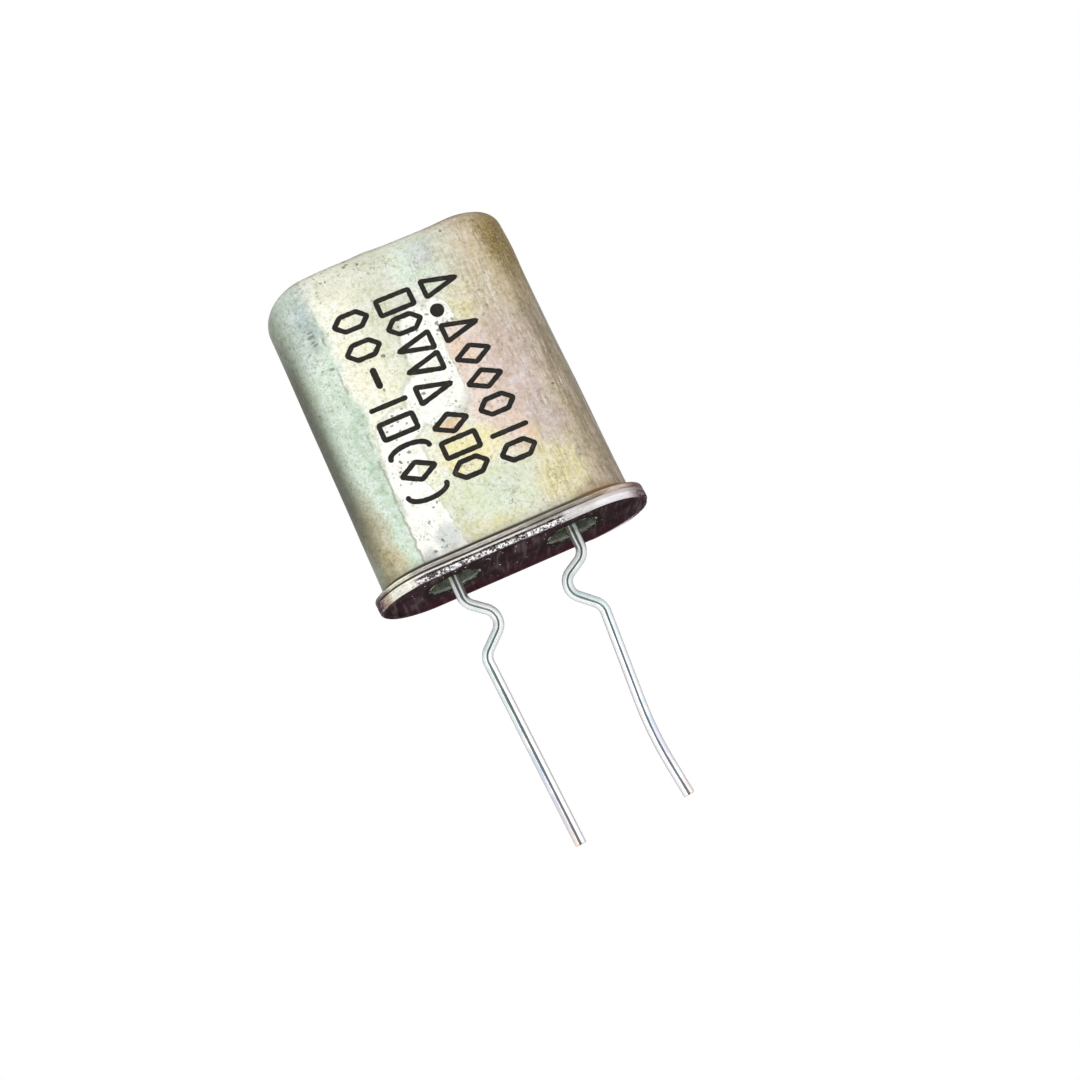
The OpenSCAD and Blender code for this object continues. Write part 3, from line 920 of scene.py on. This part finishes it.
# Ash-grey spots on the smears, and where bold specks crowd beside them, written alike
ASH_SPOTS = [((-2.1, 1.3), (0.5, 0.5), 20, 0.4), ((-3.05, 0.8), (0.3, 0.4), 0, 0.4)]
SPECK_CROWDS = [((0.35, 9.35), (1.15, 0.75), -20, 0.4), ((-2.2, 12.9), (1.8, 0.5), 0, 0.4)]
# Clouds of the same film on the plain face behind
BACK_CLOUDS = [
    (MINT, (-2.6, 7.5), (1.5, 5.4), 6, 0.5, 0.8),
    (PINK, (0.6, 9.4), (1.7, 2.6), -18, 0.3, 0.7),
    (YELLOW, (2.2, 4.2), (1.6, 2.6), 12, 0.3, 0.8),
    (WHITE, (-0.4, 4.4), (0.9, 2.6), 24, 0.45, 0.6),
    (MAUVE, (-3.4, 3.0), (1.0, 2.4), 0, 0.6, 0.5),
    (SLATE, (2.9, 10.8), (1.1, 2.0), 0, 0.5, 0.7),
    (LEAF, (-1.4, 1.8), (1.6, 1.2), 0, 0.3, 0.7),
]
# Tint of the film across the can, from the left end to the right; its darkening at the right end is
# partly the film's brown tint and partly painted shade of the round end
ACROSS = [(-5.07, (204, 217, 202)), (-4.25, (206, 220, 206)), (-3.8, (216, 230, 216)),
          (-3.42, (206, 218, 204)), (-3.3, (246, 247, 232)), (-2.4, (244, 243, 226)),
          (-1.5, (238, 239, 221)), (-0.8, (228, 229, 211)), (0.2, (233, 234, 217)),
          (1.0, (234, 234, 218)), (1.6, (227, 226, 208)), (2.6, (220, 212, 188)),
          (3.3, (210, 197, 172)), (3.8, (194, 179, 155)), (4.3, (164, 148, 122)),
          (4.65, (164, 151, 128)), (4.9, (140, 128, 108)), (5.07, (104, 96, 80))]


def film_clouds(n, loose, close):
    """The film's tint across the can, with painted shade at its right end, and its clouds of other
    tints on both faces.
    """
    span = HALF_MIDDLE + CAN_R
    colour = n.ramp((n.split(close)[0] + span) / (2 * span),
                    [((at + span) / (2 * span), tint) for at, tint in ACROSS])
    for clouds, side in ((FRONT_CLOUDS, FRONT), (BACK_CLOUDS, -FRONT)):
        for tint, middle, half, turn, softness, strength in clouds:
            mask = n.field(loose, middle, half, turn, softness, side)
            colour = n.mix(mask * strength, colour, tint)
    return colour


def white_smears(n, colour, torn, close):
    """White smears over the clouds, cut off along ragged upright lines, with thin stains and
    darker borders. Returns the colour and the mask of the smears."""
    x, _, z = n.split(close)
    slant = x + (z - 1.0) * 0.154
    cut_right = n.larger(n.rise(x, 0.86, 0.78), n.rise(z, 9.0, 9.1))
    cut_slant = n.larger(n.rise(slant, -1.56, -1.64), n.rise(z, 4.2, 4.3))
    cut = cut_right * cut_slant * n.rise(n.split(torn)[0], LEFT_BEND - 0.03, LEFT_BEND + 0.09)
    oval = 0.0
    for shape in SMEARS:
        oval = n.larger(oval, n.field(close, *shape))
    smear = oval * cut
    border = smear * (1.0 - smear)
    colour = n.mix(smear * 0.93, colour, WHITE)
    stain = smear * n.rise(n.noise(torn, 0.45, 4.0, 0.65), 0.5, 0.62)
    colour = n.mix(stain * 0.5, colour, THIN_SMEAR)
    ash = n.larger(*(n.field(close, *shape) for shape in ASH_SPOTS))
    colour = n.mix(ash * cut_slant * 0.8, colour, ASH)
    return n.mix(border * 1.3, colour, SMEAR_EDGE), smear


def mottling(n, colour, smear, back):
    """Mottle at three sizes, as light and dark of the same colour: less of it on the smears
    and behind, more at the ends. Returns the colour and the three noises."""
    place = n.place
    mottle = n.noise(place, 0.42, 5.0, 0.7)
    blotch = n.noise(place + (3.0, 0.0, 7.0), 0.17, 3.0, 0.6)
    fine = n.noise(place, 0.085, 3.0, 0.7)
    dry = 1.0 - smear * 0.6 - back * 0.35
    ends = n.rise(abs(n.x), 2.4, 4.4)
    for noise, factor, blend, stops in (
            (mottle, dry * 0.62, "OVERLAY",
             [(0.32, (146, 144, 132)), (0.5, (190, 190, 188)), (0.64, (218, 219, 226))]),
            (blotch, dry * 0.75, "MULTIPLY",
             [(0.34, (224, 221, 208)), (0.48, (248, 248, 246)), (0.58, FULL)]),
            (fine, 0.42 + ends * 0.5, "MULTIPLY",
             [(0.3, (192, 190, 178)), (0.46, (246, 246, 244)), (0.56, FULL)])):
        colour = n.mix(factor, colour, n.ramp(noise, stops), blend)
    return colour, mottle, blotch, fine


def hairlines(n, colour, torn, patchy, back):
    """Hairlines in the film, a crack along the left bend of the wall and short ticks by it."""
    place = n.place
    vein = n.band(n.noise(place, 0.9, 4.0, 0.6), 0.5, 0.01, 0.003) * n.rise(patchy, 0.5, 0.6)
    broken = n.larger(n.rise(n.noise(place, 1.1, 5.0, 0.7), 0.46, 0.54), n.rise(n.z, 3.3, 2.9))
    crack = n.band(n.split(torn)[0], LEFT_BEND, 0.06, 0.02) * broken * (1.0 - back)
    ticks = n.specks(torn * (0.6, 0.1, 1.4), 0.25, 0.13, 0.9)
    ticks = ticks * n.field(place, (-3.65, 9.9), (0.45, 1.2), 0, 0.3)
    lines = n.larger(vein, n.larger(crack, ticks * 1.6))
    return n.mix(lines * 0.5, colour, HAIRLINE)


def rubbing(n, colour, ragged, close, patchy, right):
    """Wear on the right of the can: gold flecks, fine and broad axial scratches, light and
    dark, all golden at the upper right corner. Returns the colour and the fine grain."""
    place = n.place
    corner = n.rise(n.z, 7.5, 11.0) * n.rise(n.x, 3.1, 4.1)
    flecks = n.rise(n.noise(place, 0.17, 4.0, 0.75), 0.5, 0.58)
    flecks = flecks * (right * n.rise(patchy, 0.3, 0.5))
    colour = n.mix(flecks * (0.24 + corner * 0.5), colour, GOLD_FLECK)
    glint = n.rise(n.noise(place, 0.09, 3.0, 0.7), 0.53, 0.6) * corner
    colour = n.mix(glint * 0.45, colour, GOLD_GLINT)
    grain = n.grain(place + ragged * 0.08, (0.085, 0.085, 0.9))
    broad = n.grain(place + ragged * 0.15, (0.24, 0.24, 2.0))
    light = 0.06 + right * (0.2 + n.rise(patchy, 0.35, 0.6) * 0.58)
    bend = n.rise(n.x, 2.0, 3.6)
    for mask, tint, golden in (
            (n.rise(grain, 0.52, 0.64) * light, (238, 228, 214), (206, 184, 122)),
            (n.rise(grain, 0.46, 0.36) * (0.06 + right * 0.52), (140, 128, 104), (112, 88, 36)),
            (n.rise(broad, 0.5, 0.6) * (bend * 0.5), (206, 186, 172), (170, 146, 88)),
            (n.rise(broad, 0.47, 0.38) * (bend * 0.45), (138, 132, 112), (104, 86, 34))):
        colour = n.mix(mask, colour, n.mix(corner, tint, golden))
    leafy = n.rise(n.noise(place, 0.13, 3.0, 0.6), 0.5, 0.6)
    leafy = leafy * n.field(close, (2.4, 10.6), (1.1, 1.9), 0, 0.4)
    return n.mix(leafy * 0.34, colour, OLIVE), grain


def dark_specks(n, colour, torn, close, smear):
    """Dark specks: many small ones, a few larger, and clusters of bold ones on the smears.
    Returns the colour and the mask of the larger ones."""
    flat = torn * (1, 0.4, 1)
    small = n.specks(flat, 0.26, 0.1, 0.6)
    large = n.specks(flat, 0.75, 0.19, 0.42)
    bold = n.specks(flat + (1.0, 0.0, 2.0), 0.2, 0.13, 0.6)
    crowd = smear * n.rise(n.noise(n.place, 0.8), 0.5, 0.56)
    for shape in SPECK_CROWDS:
        crowd = n.larger(crowd, n.field(close, *shape))
    colour = n.mix(small * 0.42, colour, SMALL_SPECK)
    return n.mix(n.larger(large, bold * crowd) * 0.75, colour, LARGE_SPECK), large


def edge_shade_and_browning(n, colour, mottle, blotch, right):
    """The ends of the can turn darker by painted shade, eased towards the top and bottom;
    painted shade darkens the crease above the flange, browner at the right; and the top edge
    is browned in a ring. Returns the colour and the mask of the crease."""
    x, z = n.x, n.z
    span = HALF_MIDDLE + CAN_R
    # painted shade: the round ends darken as they turn away from the light, less towards the top
    # and bottom
    shade = n.ramp((x + span) / (2 * span), [(0.0, (116, 114, 106)), (0.025, (140, 139, 131)),
                                             (0.05, (212, 212, 205)), (0.08, FULL)])
    wear_and_shade_fade = n.larger(n.rise(z, 4.6, 1.0), n.rise(z, 9.2, 12.4))
    colour = n.mix(1.0 - wear_and_shade_fade * 0.45, colour, shade, "MULTIPLY")
    brown = n.rise(x, 2.4, 3.4)
    # painted shade in the crease above the flange, and faintly over the wall just above it
    crease = (n.rise(z - brown * 0.03, FLANGE_TOP + 0.22, FLANGE_TOP + 0.13)
              * n.rise(z, FLANGE_TOP - 0.05, FLANGE_TOP - 0.025))
    crease_shade = n.mix(brown, n.mix(n.rise(x, -0.5, 1.5), CREASE_SHADE_LEFT, CREASE_SHADE_MIDDLE), CREASE_SHADE_RIGHT)
    colour = n.mix(n.rise(z, FLANGE_TOP + 0.6, FLANGE_TOP + 0.1) * 0.25, colour, crease_shade)
    colour = n.mix(crease, colour, crease_shade)
    level = z + n.rise(x, -2.0, -3.8) * 0.12
    top = n.rise(level, CAN_TOP - 0.45, CAN_TOP - 0.1) * n.rise(blotch, 0.42, 0.52)
    top = n.larger(top, n.rise(level + right * 0.09, CAN_TOP - 0.15, CAN_TOP - 0.08))
    ring = n.rise(n.reach(n.place) + (mottle - 0.5) * 0.9, 0.25, 0.95)
    top = top * (0.3 + ring * 0.7)
    return n.mix(top * 0.85, colour, n.mix(right, BROWNED_LEFT, BROWNED_RIGHT)), crease


def flange_tint(n):
    """Flange: cream at the left, grey along the middle, brown and pinkish at the right, with
    painted shade darkening both ends, and light and dark lines running round it."""
    x, place = n.x, n.place
    span = HALF_MIDDLE + FLANGE_R
    # painted shade darkens both round ends of the flange
    flange = n.ramp((x + span) / (2 * span), [
        (0.0, (76, 58, 58)), (0.015, (112, 96, 92)), (0.045, (176, 164, 150)),
        (0.062, (252, 252, 222)), (0.13, (252, 252, 228)), (0.15, (200, 198, 192)),
        (0.44, (214, 210, 204)), (0.58, (176, 171, 162)), (0.78, (150, 145, 130)),
        (0.82, (150, 122, 94)), (0.87, (208, 192, 176)), (0.92, (190, 166, 154)),
        (0.955, (108, 78, 76)), (1.0, (80, 56, 56))])
    sway = (n.noise(place, 0.8, 3.0) - 0.5) * 0.05
    lines = n.ramp((n.z + sway - JOINT) / WALL, [
        (0.12, (110, 104, 100)), (0.24, (180, 176, 172)), (0.36, (236, 234, 230)),
        (0.46, (176, 171, 165)), (0.58, (232, 230, 226)), (0.74, FULL), (0.85, (214, 210, 204))])
    streaks = n.grain(place, (0.7, 0.7, 0.045))
    flange = n.mix(n.rise(x, 3.2, 2.2), flange, n.mix(1.0, flange, lines, "MULTIPLY"))
    flange = n.mix(n.rise(streaks, 0.5, 0.6) * 0.6, flange, (110, 103, 94))
    return n.mix(n.rise(streaks, 0.46, 0.38) * 0.6, flange, (248, 244, 236))


def can_finish():
    """Satin plating under a cloudy, iridescent passivation film: white smears, mottle,
    hairlines, specks, gold flecks and scratches on the right, and painted shade at the ends and
    in the crease. The film is duller where it clouds and in the crease."""
    n = Finish("cloudy_passivated_plating", Metallic=0.3, IOR=1.5)
    place, z = n.place, n.z
    wander, ragged = n.drift(place, 1.5, 3.0), n.drift(place, 0.35, 4.0)
    torn = place + ragged * 0.3
    loose, close = torn + wander * 1.3, torn + wander * 0.5
    patchy, back, right = n.noise(place, 1.6, 2.0), n.over(n.y, 0.0), n.rise(n.x, 0.8, 3.0)
    colour = film_clouds(n, loose, close)
    colour, smear = white_smears(n, colour, torn, close)
    colour, mottle, blotch, fine = mottling(n, colour, smear, back)
    colour = hairlines(n, colour, torn, patchy, back)
    colour, grain = rubbing(n, colour, ragged, close, patchy, right)
    colour, large = dark_specks(n, colour, torn, close, smear)
    colour, crease = edge_shade_and_browning(n, colour, mottle, blotch, right)
    colour = n.mix(n.rise(z, FLANGE_TOP - 0.025, FLANGE_TOP - 0.05), colour, flange_tint(n))
    lip = n.rise(z, JOINT + 0.05, JOINT + 0.015) * n.rise(n.x, 1.8, -0.6)
    colour = n.mix(lip * 0.85, colour, JOINT_SHADOW)
    height = fine * 0.7 + grain * 0.4 - large * 0.5
    return n.done(Base_Color=colour, Roughness=mottle * 0.4 + (0.34 + crease * 0.2),
                  Normal=n.bump(height, 0.008))


def underside(n, x, y, place, cloud, streak):
    """Dark heat-tinted steel with fine streaks, a warmer back edge, the glass's ragged
    meniscus, and light scratches."""
    under = n.ramp(cloud, [(0.32, (50, 37, 38)), (0.5, (60, 44, 48)), (0.66, (74, 57, 61))])
    soft = n.noise(place / (0.28, 2.4, 1.0), 1.0, 3.0, 0.5)
    near_glass = n.length(n.add("CombineXYZ", {0: abs(x) - LEAD_X, 1: y}))
    meniscus = (n.band(near_glass, SEAL_R + 0.05, 0.05, 0.02)
                * n.rise(n.noise(place, 0.5, 4.0, 0.6), 0.52, 0.56))
    bore = n.ramp(n.noise(place, 0.55, 3.0),
                  [(0.38, (58, 60, 46)), (0.5, (92, 98, 80)), (0.64, (124, 132, 112))])
    scratch = n.specks(place / (0.2, 3.0, 1.0), 0.9, 0.16, 0.3)
    for mask, tint in (
            (n.rise(soft, 0.5, 0.68) * 0.75, (104, 90, 94)),
            (n.rise(streak, 0.52, 0.66) * 0.45, (104, 90, 92)),
            (n.rise(streak, 0.45, 0.36) * 0.35, (34, 26, 28)),
            (n.rise(y, 1.3, 2.2) * 0.65, (78, 42, 50)),
            (n.rise(near_glass, 1.6, 1.1) * 0.75, (46, 44, 38)),
            (meniscus * 0.75, (190, 190, 172)),
            (n.rise(near_glass, SEAL_R + 0.012, SEAL_R + 0.004), bore),
            (scratch * 0.7, (190, 180, 180))):
        under = n.mix(mask, under, tint)
    return under


def smooth_rim(n, x, z, place):
    """The rim where the weld left it smooth: bright, darkened at both ends by painted shade,
    with smudges, lines running round it and one spot of rust."""
    span = HALF_MIDDLE + FLANGE_R
    # painted shade darkens both round ends of the rim
    smooth = n.ramp((x + span) / (2 * span), [
        (0.0, (50, 32, 36)), (0.012, (74, 54, 56)), (0.028, (150, 122, 112)),
        (0.045, (200, 176, 146)), (0.06, (255, 253, 240)), (0.14, (252, 249, 236)),
        (0.3, (240, 236, 230)), (0.62, (226, 222, 222)), (0.78, (228, 224, 224)),
        (0.82, (255, 252, 254)), (0.912, (255, 248, 252)), (0.938, (196, 178, 182)),
        (0.962, (80, 54, 58)), (1.0, (50, 32, 36))])
    end = n.rise(x, 2.2, 3.0)
    smudge = n.rise(n.noise(place, 0.16, 4.0, 0.7), 0.54, 0.68)
    lines = n.grain(place, (0.5, 0.5, 0.05))
    rust = n.band(x, RUST_X, 0.09, 0.04) * n.rise(z, 0.27, 0.2)
    for mask, tint in (
            (smudge * (0.45 - end * 0.37), (160, 146, 142)),
            (n.rise(lines, 0.53, 0.6) * (0.4 - end * 0.25), (130, 112, 112)),
            (n.rise(lines, 0.47, 0.4) * 0.5, (255, 253, 252)),
            (n.rise(z, 0.5 * JOINT, 0.65 * JOINT) * end * 0.55, (182, 166, 158)),
            (rust * 0.7, (128, 84, 72))):
        smooth = n.mix(mask, smooth, tint)
    return smooth


def weld_flash(n, x, z, place, cloud, rear):
    """The rim where the weld squeezed metal out: from its lower edge up, bright lumps over
    dark, a groove and a plain band. Returns the colour and the mask of the lumps."""
    dense = (n.noise(place, 0.45, 2.0) - 0.5) * 0.5
    lumps = n.rise(n.noise(place * (0.7, 0.7, 1.0), 0.06, 3.0, 0.7) + dense, 0.44, 0.53)
    lumps = lumps * n.rise(z + cloud * 0.1, 0.05, 0.085)
    groove = n.rise(z, 0.17, 0.2) * n.rise(z, 0.28, 0.25)
    plain = n.mix(n.rise(x, 0.0, 1.2), (238, 234, 230), (176, 170, 168))
    flash = n.mix(lumps, (80, 70, 70), (255, 252, 253))
    flash = n.mix(groove, flash, n.mix(lumps, (48, 44, 42), (120, 112, 108)))
    flash = n.mix(n.rise(z, 0.26, 0.29), flash, plain)
    return n.mix(rear * 0.5, flash, (168, 158, 156)), lumps


def base_finish():
    """Base: dark heat-tinted underside with fine streaks and light specks; a bright rim, with
    the weld's rough flash along its front and back."""
    n = Finish("heat_tinted_base", IOR=1.45, Specular_IOR_Level=0.0)
    place, x, y, z = n.place, n.x, n.y, n.z
    cloud = n.noise(place, 0.9, 4.0)
    streak = n.grain(place, (0.12, 1.8, 1.0))
    rear = n.over(y, 0.0)
    flash, lumps = weld_flash(n, x, z, place, cloud, rear)
    zone = n.mix(rear, *(n.band(x, middle, 3.1, 2.8) for middle in FLASH_MIDDLES))
    rim = n.mix(zone, smooth_rim(n, x, z, place), flash)
    joint = n.rise(z, JOINT - 0.05, JOINT - 0.02) * n.rise(x, 1.8, -0.6)
    rim = n.mix(joint * 0.85, rim, (64, 58, 55))
    lip = n.rise(n.reach(place), FLANGE_R - 0.13, FLANGE_R - 0.09)
    colour = n.mix(lip, underside(n, x, y, place, cloud, streak), rim)
    return n.done(Base_Color=colour, Roughness=0.34 + cloud * 0.25, Metallic=lip * 0.15,
                  Normal=n.bump(streak + lumps * lip * 1.5, 0.006))


def glass_finish():
    """Dark green sealing glass, clear enough to show the wire inside it, with a few bubbles."""
    n = Finish("sealing_glass", Roughness=0.03, IOR=1.03, Transmission_Weight=0.98)
    colour = n.ramp(n.noise(n.place, 0.5, 3.0),
                    [(0.38, (206, 214, 190)), (0.5, (238, 244, 226)), (0.62, (252, 255, 244))])
    bubbles = n.specks(n.place, 0.5, 0.06, 0.4)
    colour = n.mix(bubbles * 0.5, colour, (120, 130, 110))
    return n.done(Base_Color=colour, Normal=n.bump(n.noise(n.place, 0.35, 2.0), 0.006))


def wire_finish():
    """Bright tinned wire with drawn streaks, a painted dark reflection line along its front and
    back, painted shade on its flanks, and a matt skin where the glass holds it, with a painted
    dark reflection of the base on its sides just below the glass. The line is broader by the
    glass, at the tips and along the middle of the left lead."""
    n = Finish("tinned_wire", IOR=1.5)
    place, x, z = n.place, n.x, n.z
    grain = n.grain(place, (0.05, 0.05, 1.3))
    off_line, facing, _ = n.split(n.add("Attribute", {}, "Vector", attribute_name="around"))
    # painted shade along the wire's flanks, at its outline as seen from the front
    painted_flank_shade = n.rise(abs(facing), 0.145, 0.085) * n.rise(z, -0.6, -1.0)
    # painted dark reflection of the base on the sides of the wire just below the glass
    root = n.rise(abs(off_line + 0.03), 0.13, 0.17) * n.rise(z, -0.85, -0.55)
    beside = (n.rise(off_line, -0.03, -0.06) * n.rise(off_line, -0.19, -0.14)
              * n.rise(n.noise(place, 1.4), 0.34, 0.5) * n.rise(z, -0.9, -1.4))
    tint = n.ramp((z + 11.0) / 11.0,
                  [(0.03, (252, 228, 208)), (0.1, (226, 216, 226)), (0.2, (214, 210, 230)),
                   (0.3, (200, 218, 236)), (0.5, (222, 238, 240)), (0.8, (208, 230, 230))])
    thick = n.rise(x, 0.1, -0.1) * n.band(z, -6.0, 3.0, 1.8)
    width = (0.038 + (n.rise(z, -0.9, -0.5) * 0.012 + n.rise(z, -8.2, -10.0) * 0.008)
             + (n.noise(place, 0.7) - 0.5) * 0.03 + thick * 0.012)
    # painted dark reflection line along the front and back of each wire
    line = n.mix(n.rise(z, -3.0, -5.0), (56, 66, 64),
                 n.mix(n.rise(x, -0.1, 0.1), (44, 40, 42), (54, 58, 72)))
    colour = n.mix(n.rise(grain, 0.4, 0.7), (252, 255, 255), (236, 246, 247))
    for mask, over in (
            (painted_flank_shade * 0.6, (160, 124, 128)), (root * 0.85, (66, 60, 52)), (beside * 0.85, tint),
            (n.rise(abs(off_line) - width, 0.012, -0.008) * 0.95, line),
            (n.specks(place, 0.7, 0.1, 0.3) * 0.3, (170, 172, 174))):
        colour = n.mix(mask, colour, over)
    sealed = n.rise(z, -1.0, -0.5)
    return n.done(Base_Color=colour, Roughness=0.22 + grain * 0.14 + sealed * 0.3,
                  Metallic=0.5 - n.rise(z, -3.6, -2.4) * 0.42, Normal=n.bump(grain, 0.002))


def ink_finish():
    """Black marking ink, dull, with pinholes and a thin grey bloom."""
    n = Finish("black_marking_ink", IOR=1.45, Specular_IOR_Level=0.2)
    cloud = n.noise(n.place, 0.25, 4.0, 0.65)
    colour = n.ramp(cloud, [(0.35, (26, 25, 22)), (0.6, (42, 39, 34)), (0.75, (74, 68, 58))])
    holes = n.specks(n.place, 0.16, 0.04, 0.4)
    colour = n.mix(holes * 0.5, colour, (120, 116, 100))
    return n.done(Base_Color=colour, Roughness=0.45 + cloud * 0.3, Normal=n.bump(cloud, 0.004))


def spatter_finish():
    """Bright solidified drops with darker oxide in patches."""
    n = Finish("weld_drops", Metallic=0.8, Roughness=0.3)
    oxide = n.rise(n.noise(n.place, 0.05, 2.0), 0.4, 0.6)
    return n.done(Base_Color=n.mix(oxide, (226, 220, 220), (150, 140, 140)))


def clip_finish():
    """Rolled nickel-silver strip with lengthwise rolling lines."""
    n = Finish("nickel_silver_strip", Metallic=1.0)
    grain = n.grain(n.place, (0.05, 0.05, 1.0))
    stain = n.rise(n.noise(n.place, 0.8, 3.0), 0.55, 0.75)
    colour = n.mix(n.rise(grain, 0.35, 0.7), (214, 206, 184), (182, 172, 150))
    colour = n.mix(stain * 0.4, colour, (160, 140, 110))
    return n.done(Base_Color=colour, Roughness=0.25 + grain * 0.25, Normal=n.bump(grain, 0.003))


def quartz_finish():
    """Fine-lapped quartz: clear, with a faint frost from lapping."""
    n = Finish("lapped_quartz", IOR=1.54, Transmission_Weight=0.85)
    frost = n.noise(n.place, 0.12, 5.0, 0.7)
    colour = n.mix(n.rise(frost, 0.4, 0.65), (236, 242, 244), (214, 222, 226))
    return n.done(Base_Color=colour, Roughness=0.12 + frost * 0.25, Normal=n.bump(frost, 0.002))


def film_finish():
    """Evaporated silver film, bright with a faint yellow bloom in patches."""
    n = Finish("evaporated_silver", Metallic=1.0)
    bloom, fine = n.noise(n.place, 1.1, 3.0), n.noise(n.place, 0.05, 3.0)
    colour = n.mix(n.rise(bloom, 0.45, 0.7), (240, 240, 238), (226, 218, 194))
    return n.done(Base_Color=colour, Roughness=0.12 + fine * 0.2)


def cement_finish():
    """Silver-filled cement: grey, with bright flakes."""
    n = Finish("silver_filled_cement", IOR=1.5)
    flakes = n.specks(n.place, 0.05, 0.03, 0.8)
    base = n.noise(n.place, 0.3, 4.0)
    colour = n.mix(flakes * 0.7, n.mix(base, (150, 150, 152), (180, 180, 182)), (222, 222, 226))
    return n.done(Base_Color=colour, Metallic=flakes * 0.8, Roughness=0.6 - flakes * 0.25,
                  Normal=n.bump(base + flakes * 0.4, 0.01))


# ---- Pieces ----

make_can(can_finish())
make_base(base_finish())
glass = glass_finish()
make_seal("glass_bead_left", -1, glass, "glass_seal_left")
make_seal("glass_bead_right", 1, glass, "glass_seal_right")
wire = wire_finish()
left_steps = lead_steps(start=0.5, in_=0.87, out=0.97, slope_in=50, slope_out=48, lean=2.4)
right_steps = lead_steps(start=0.51, in_=1.08, out=0.88, slope_in=60, slope_out=47, lean=4.6,
                         knee_run=3.56, knee=10.6)
make_lead("lead_wire_left", -1, left_steps, 41, wire, "lead_left")
make_lead("lead_wire_right", 1, right_steps, 42, wire, "lead_right")
make_marks(ink_finish())
make_spatter(spatter_finish())


def dress(material, *nodes):
    """Gives kept CAD nodes a material."""
    for name in nodes:
        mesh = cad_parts[name].data
        mesh.materials.clear()
        mesh.materials.append(material)


dress(clip_finish(), "support_clip_left", "support_clip_right")
dress(quartz_finish(), "quartz_blank")
dress(film_finish(), "electrode_front", "electrode_back")
dress(cement_finish(), "cement_left", "cement_right")


# ---- Stage, light and camera ----

FLOOR = -50.0
STAGE_R = 1500.0


def make_floor():
    """Pale floor: a disc of rings r = R (i / n)^2. Near the part it takes light and shadow; for
    the camera and for reflections it fades into the white background further out."""
    rings, spokes = 24, 96
    r = STAGE_R * np.linspace(0, 1, rings)[:, None] ** 2
    a = np.linspace(0, 2 * math.pi, spokes, endpoint=False)
    grid = np.stack([r * np.cos(a), r * np.sin(a), FLOOR + 0 * r * a], axis=-1)
    mesh = bpy.data.meshes.new("studio_floor")
    faces = grid_faces(rings, spokes, True)[:, ::-1]
    mesh.from_pydata(grid.reshape(-1, 3) * MM, [], faces.tolist())
    mesh.validate()
    floor = bpy.data.objects.new("studio_floor", mesh)
    bpy.context.scene.collection.objects.link(floor)
    n = Finish("pale_floor", Roughness=0.9, Specular_IOR_Level=0.0)
    tooth = n.noise(n.place, 4.0, 3.0)
    n.done(Base_Color=n.mix(tooth, (238, 238, 238), (246, 246, 246)))
    far = n.rise(n.length(n.place), 60.0, 110.0)
    camera, glossy, clear = n.add("LightPath", {}, "Is Camera Ray", "Is Glossy Ray",
                                  "Is Transmission Ray")
    seen = n.larger(camera, n.larger(glossy, clear))
    white = n.add("Emission", {"Color": (1, 1, 1, 1), "Strength": 1.0})
    blend = n.add("MixShader", {0: seen * far, 1: Signal(n, n.shader.outputs[0]), 2: white})
    n.tree.links.new(blend.socket, n.tree.nodes["Material Output"].inputs["Surface"])
    mesh.materials.append(n.material)


def make_world():
    """White studio: an even half-strength ambience, seen as white by the camera and in
    reflections, with a little less light from behind the part."""
    world = bpy.data.worlds.new("studio")
    bpy.context.scene.world = world
    world.use_nodes = True
    n = Nodes(world.node_tree)
    camera, glossy, clear = n.add("LightPath", {}, "Is Camera Ray", "Is Glossy Ray",
                                  "Is Transmission Ray")
    behind = n.rise(n.split(n.add("TexCoord", {}, "Generated"))[1], 0.0, 0.9)
    mirrored = n.mix(behind * 0.5, FULL, (150, 120, 124))
    colour = n.mix(n.larger(glossy, clear), (188, 188, 188), mirrored)
    colour = n.mix(camera, colour, FULL)
    background = world.node_tree.nodes["Background"]
    n.tree.links.new(colour.socket, background.inputs["Color"])
    background.inputs["Strength"].default_value = 1.0


def add_lamp(name, place, target, size, power):
    """Square area lamp at place, aimed at target; sizes in millimetres, power in watts."""
    light = bpy.data.lights.new(name, "AREA")
    light.shape = "SQUARE"
    light.size = size * MM
    light.energy = power
    lamp = bpy.data.objects.new(name, light)
    bpy.context.scene.collection.objects.link(lamp)
    lamp.location = Vector(place) * MM
    lamp.rotation_mode = "QUATERNION"
    lamp.rotation_quaternion = (Vector(target) - Vector(place)).to_track_quat("-Z", "Y")


def add_camera(aim, distance, azimuth, elevation, roll, lens):
    """Camera at aim + distance (sin a cos e, -cos a cos e, sin e), turned by roll about its
    own axis. Angles are in degrees, the lens in millimetres for a frame 36 mm wide."""
    a, e, t = (math.radians(v) for v in (azimuth, elevation, roll))
    back = Vector((math.sin(a) * math.cos(e), -math.cos(a) * math.cos(e), math.sin(e)))
    level_right = Vector((math.cos(a), math.sin(a), 0))
    level_up = back.cross(level_right)
    right = math.cos(t) * level_right - math.sin(t) * level_up
    up = math.cos(t) * level_up + math.sin(t) * level_right
    data = bpy.data.cameras.new("camera")
    data.lens, data.sensor_width = lens, 36.0
    data.clip_start, data.clip_end = 0.005, 5.0
    camera = bpy.data.objects.new("camera", data)
    bpy.context.scene.collection.objects.link(camera)
    turned = Matrix((right, up, back)).transposed().to_4x4()
    turned.translation = (Vector(aim) + back * distance) * MM
    camera.matrix_world = turned
    bpy.context.scene.camera = camera


make_floor()
make_world()
for name, place, target, size, power in (
        ("key_light", (-55, -120, 75), (0, 0, 6), 150, 0.035),
        ("low_light", (-50, -120, -35), (0, 0, 0), 110, 0.104),
        ("fill_light", (90, -90, 20), (0, 0, 4), 90, 0.02),
        ("back_light", (20, 144, 34), (0, 0, 4), 130, 0.05)):
    add_lamp(name, place, target, size, power)
add_camera(aim=(1.143, 0.0, 0.290), distance=63.486, azimuth=-7.634, elevation=-13.535,
           roll=25.266, lens=55.852)
bpy.context.scene.view_settings.view_transform = "Standard"
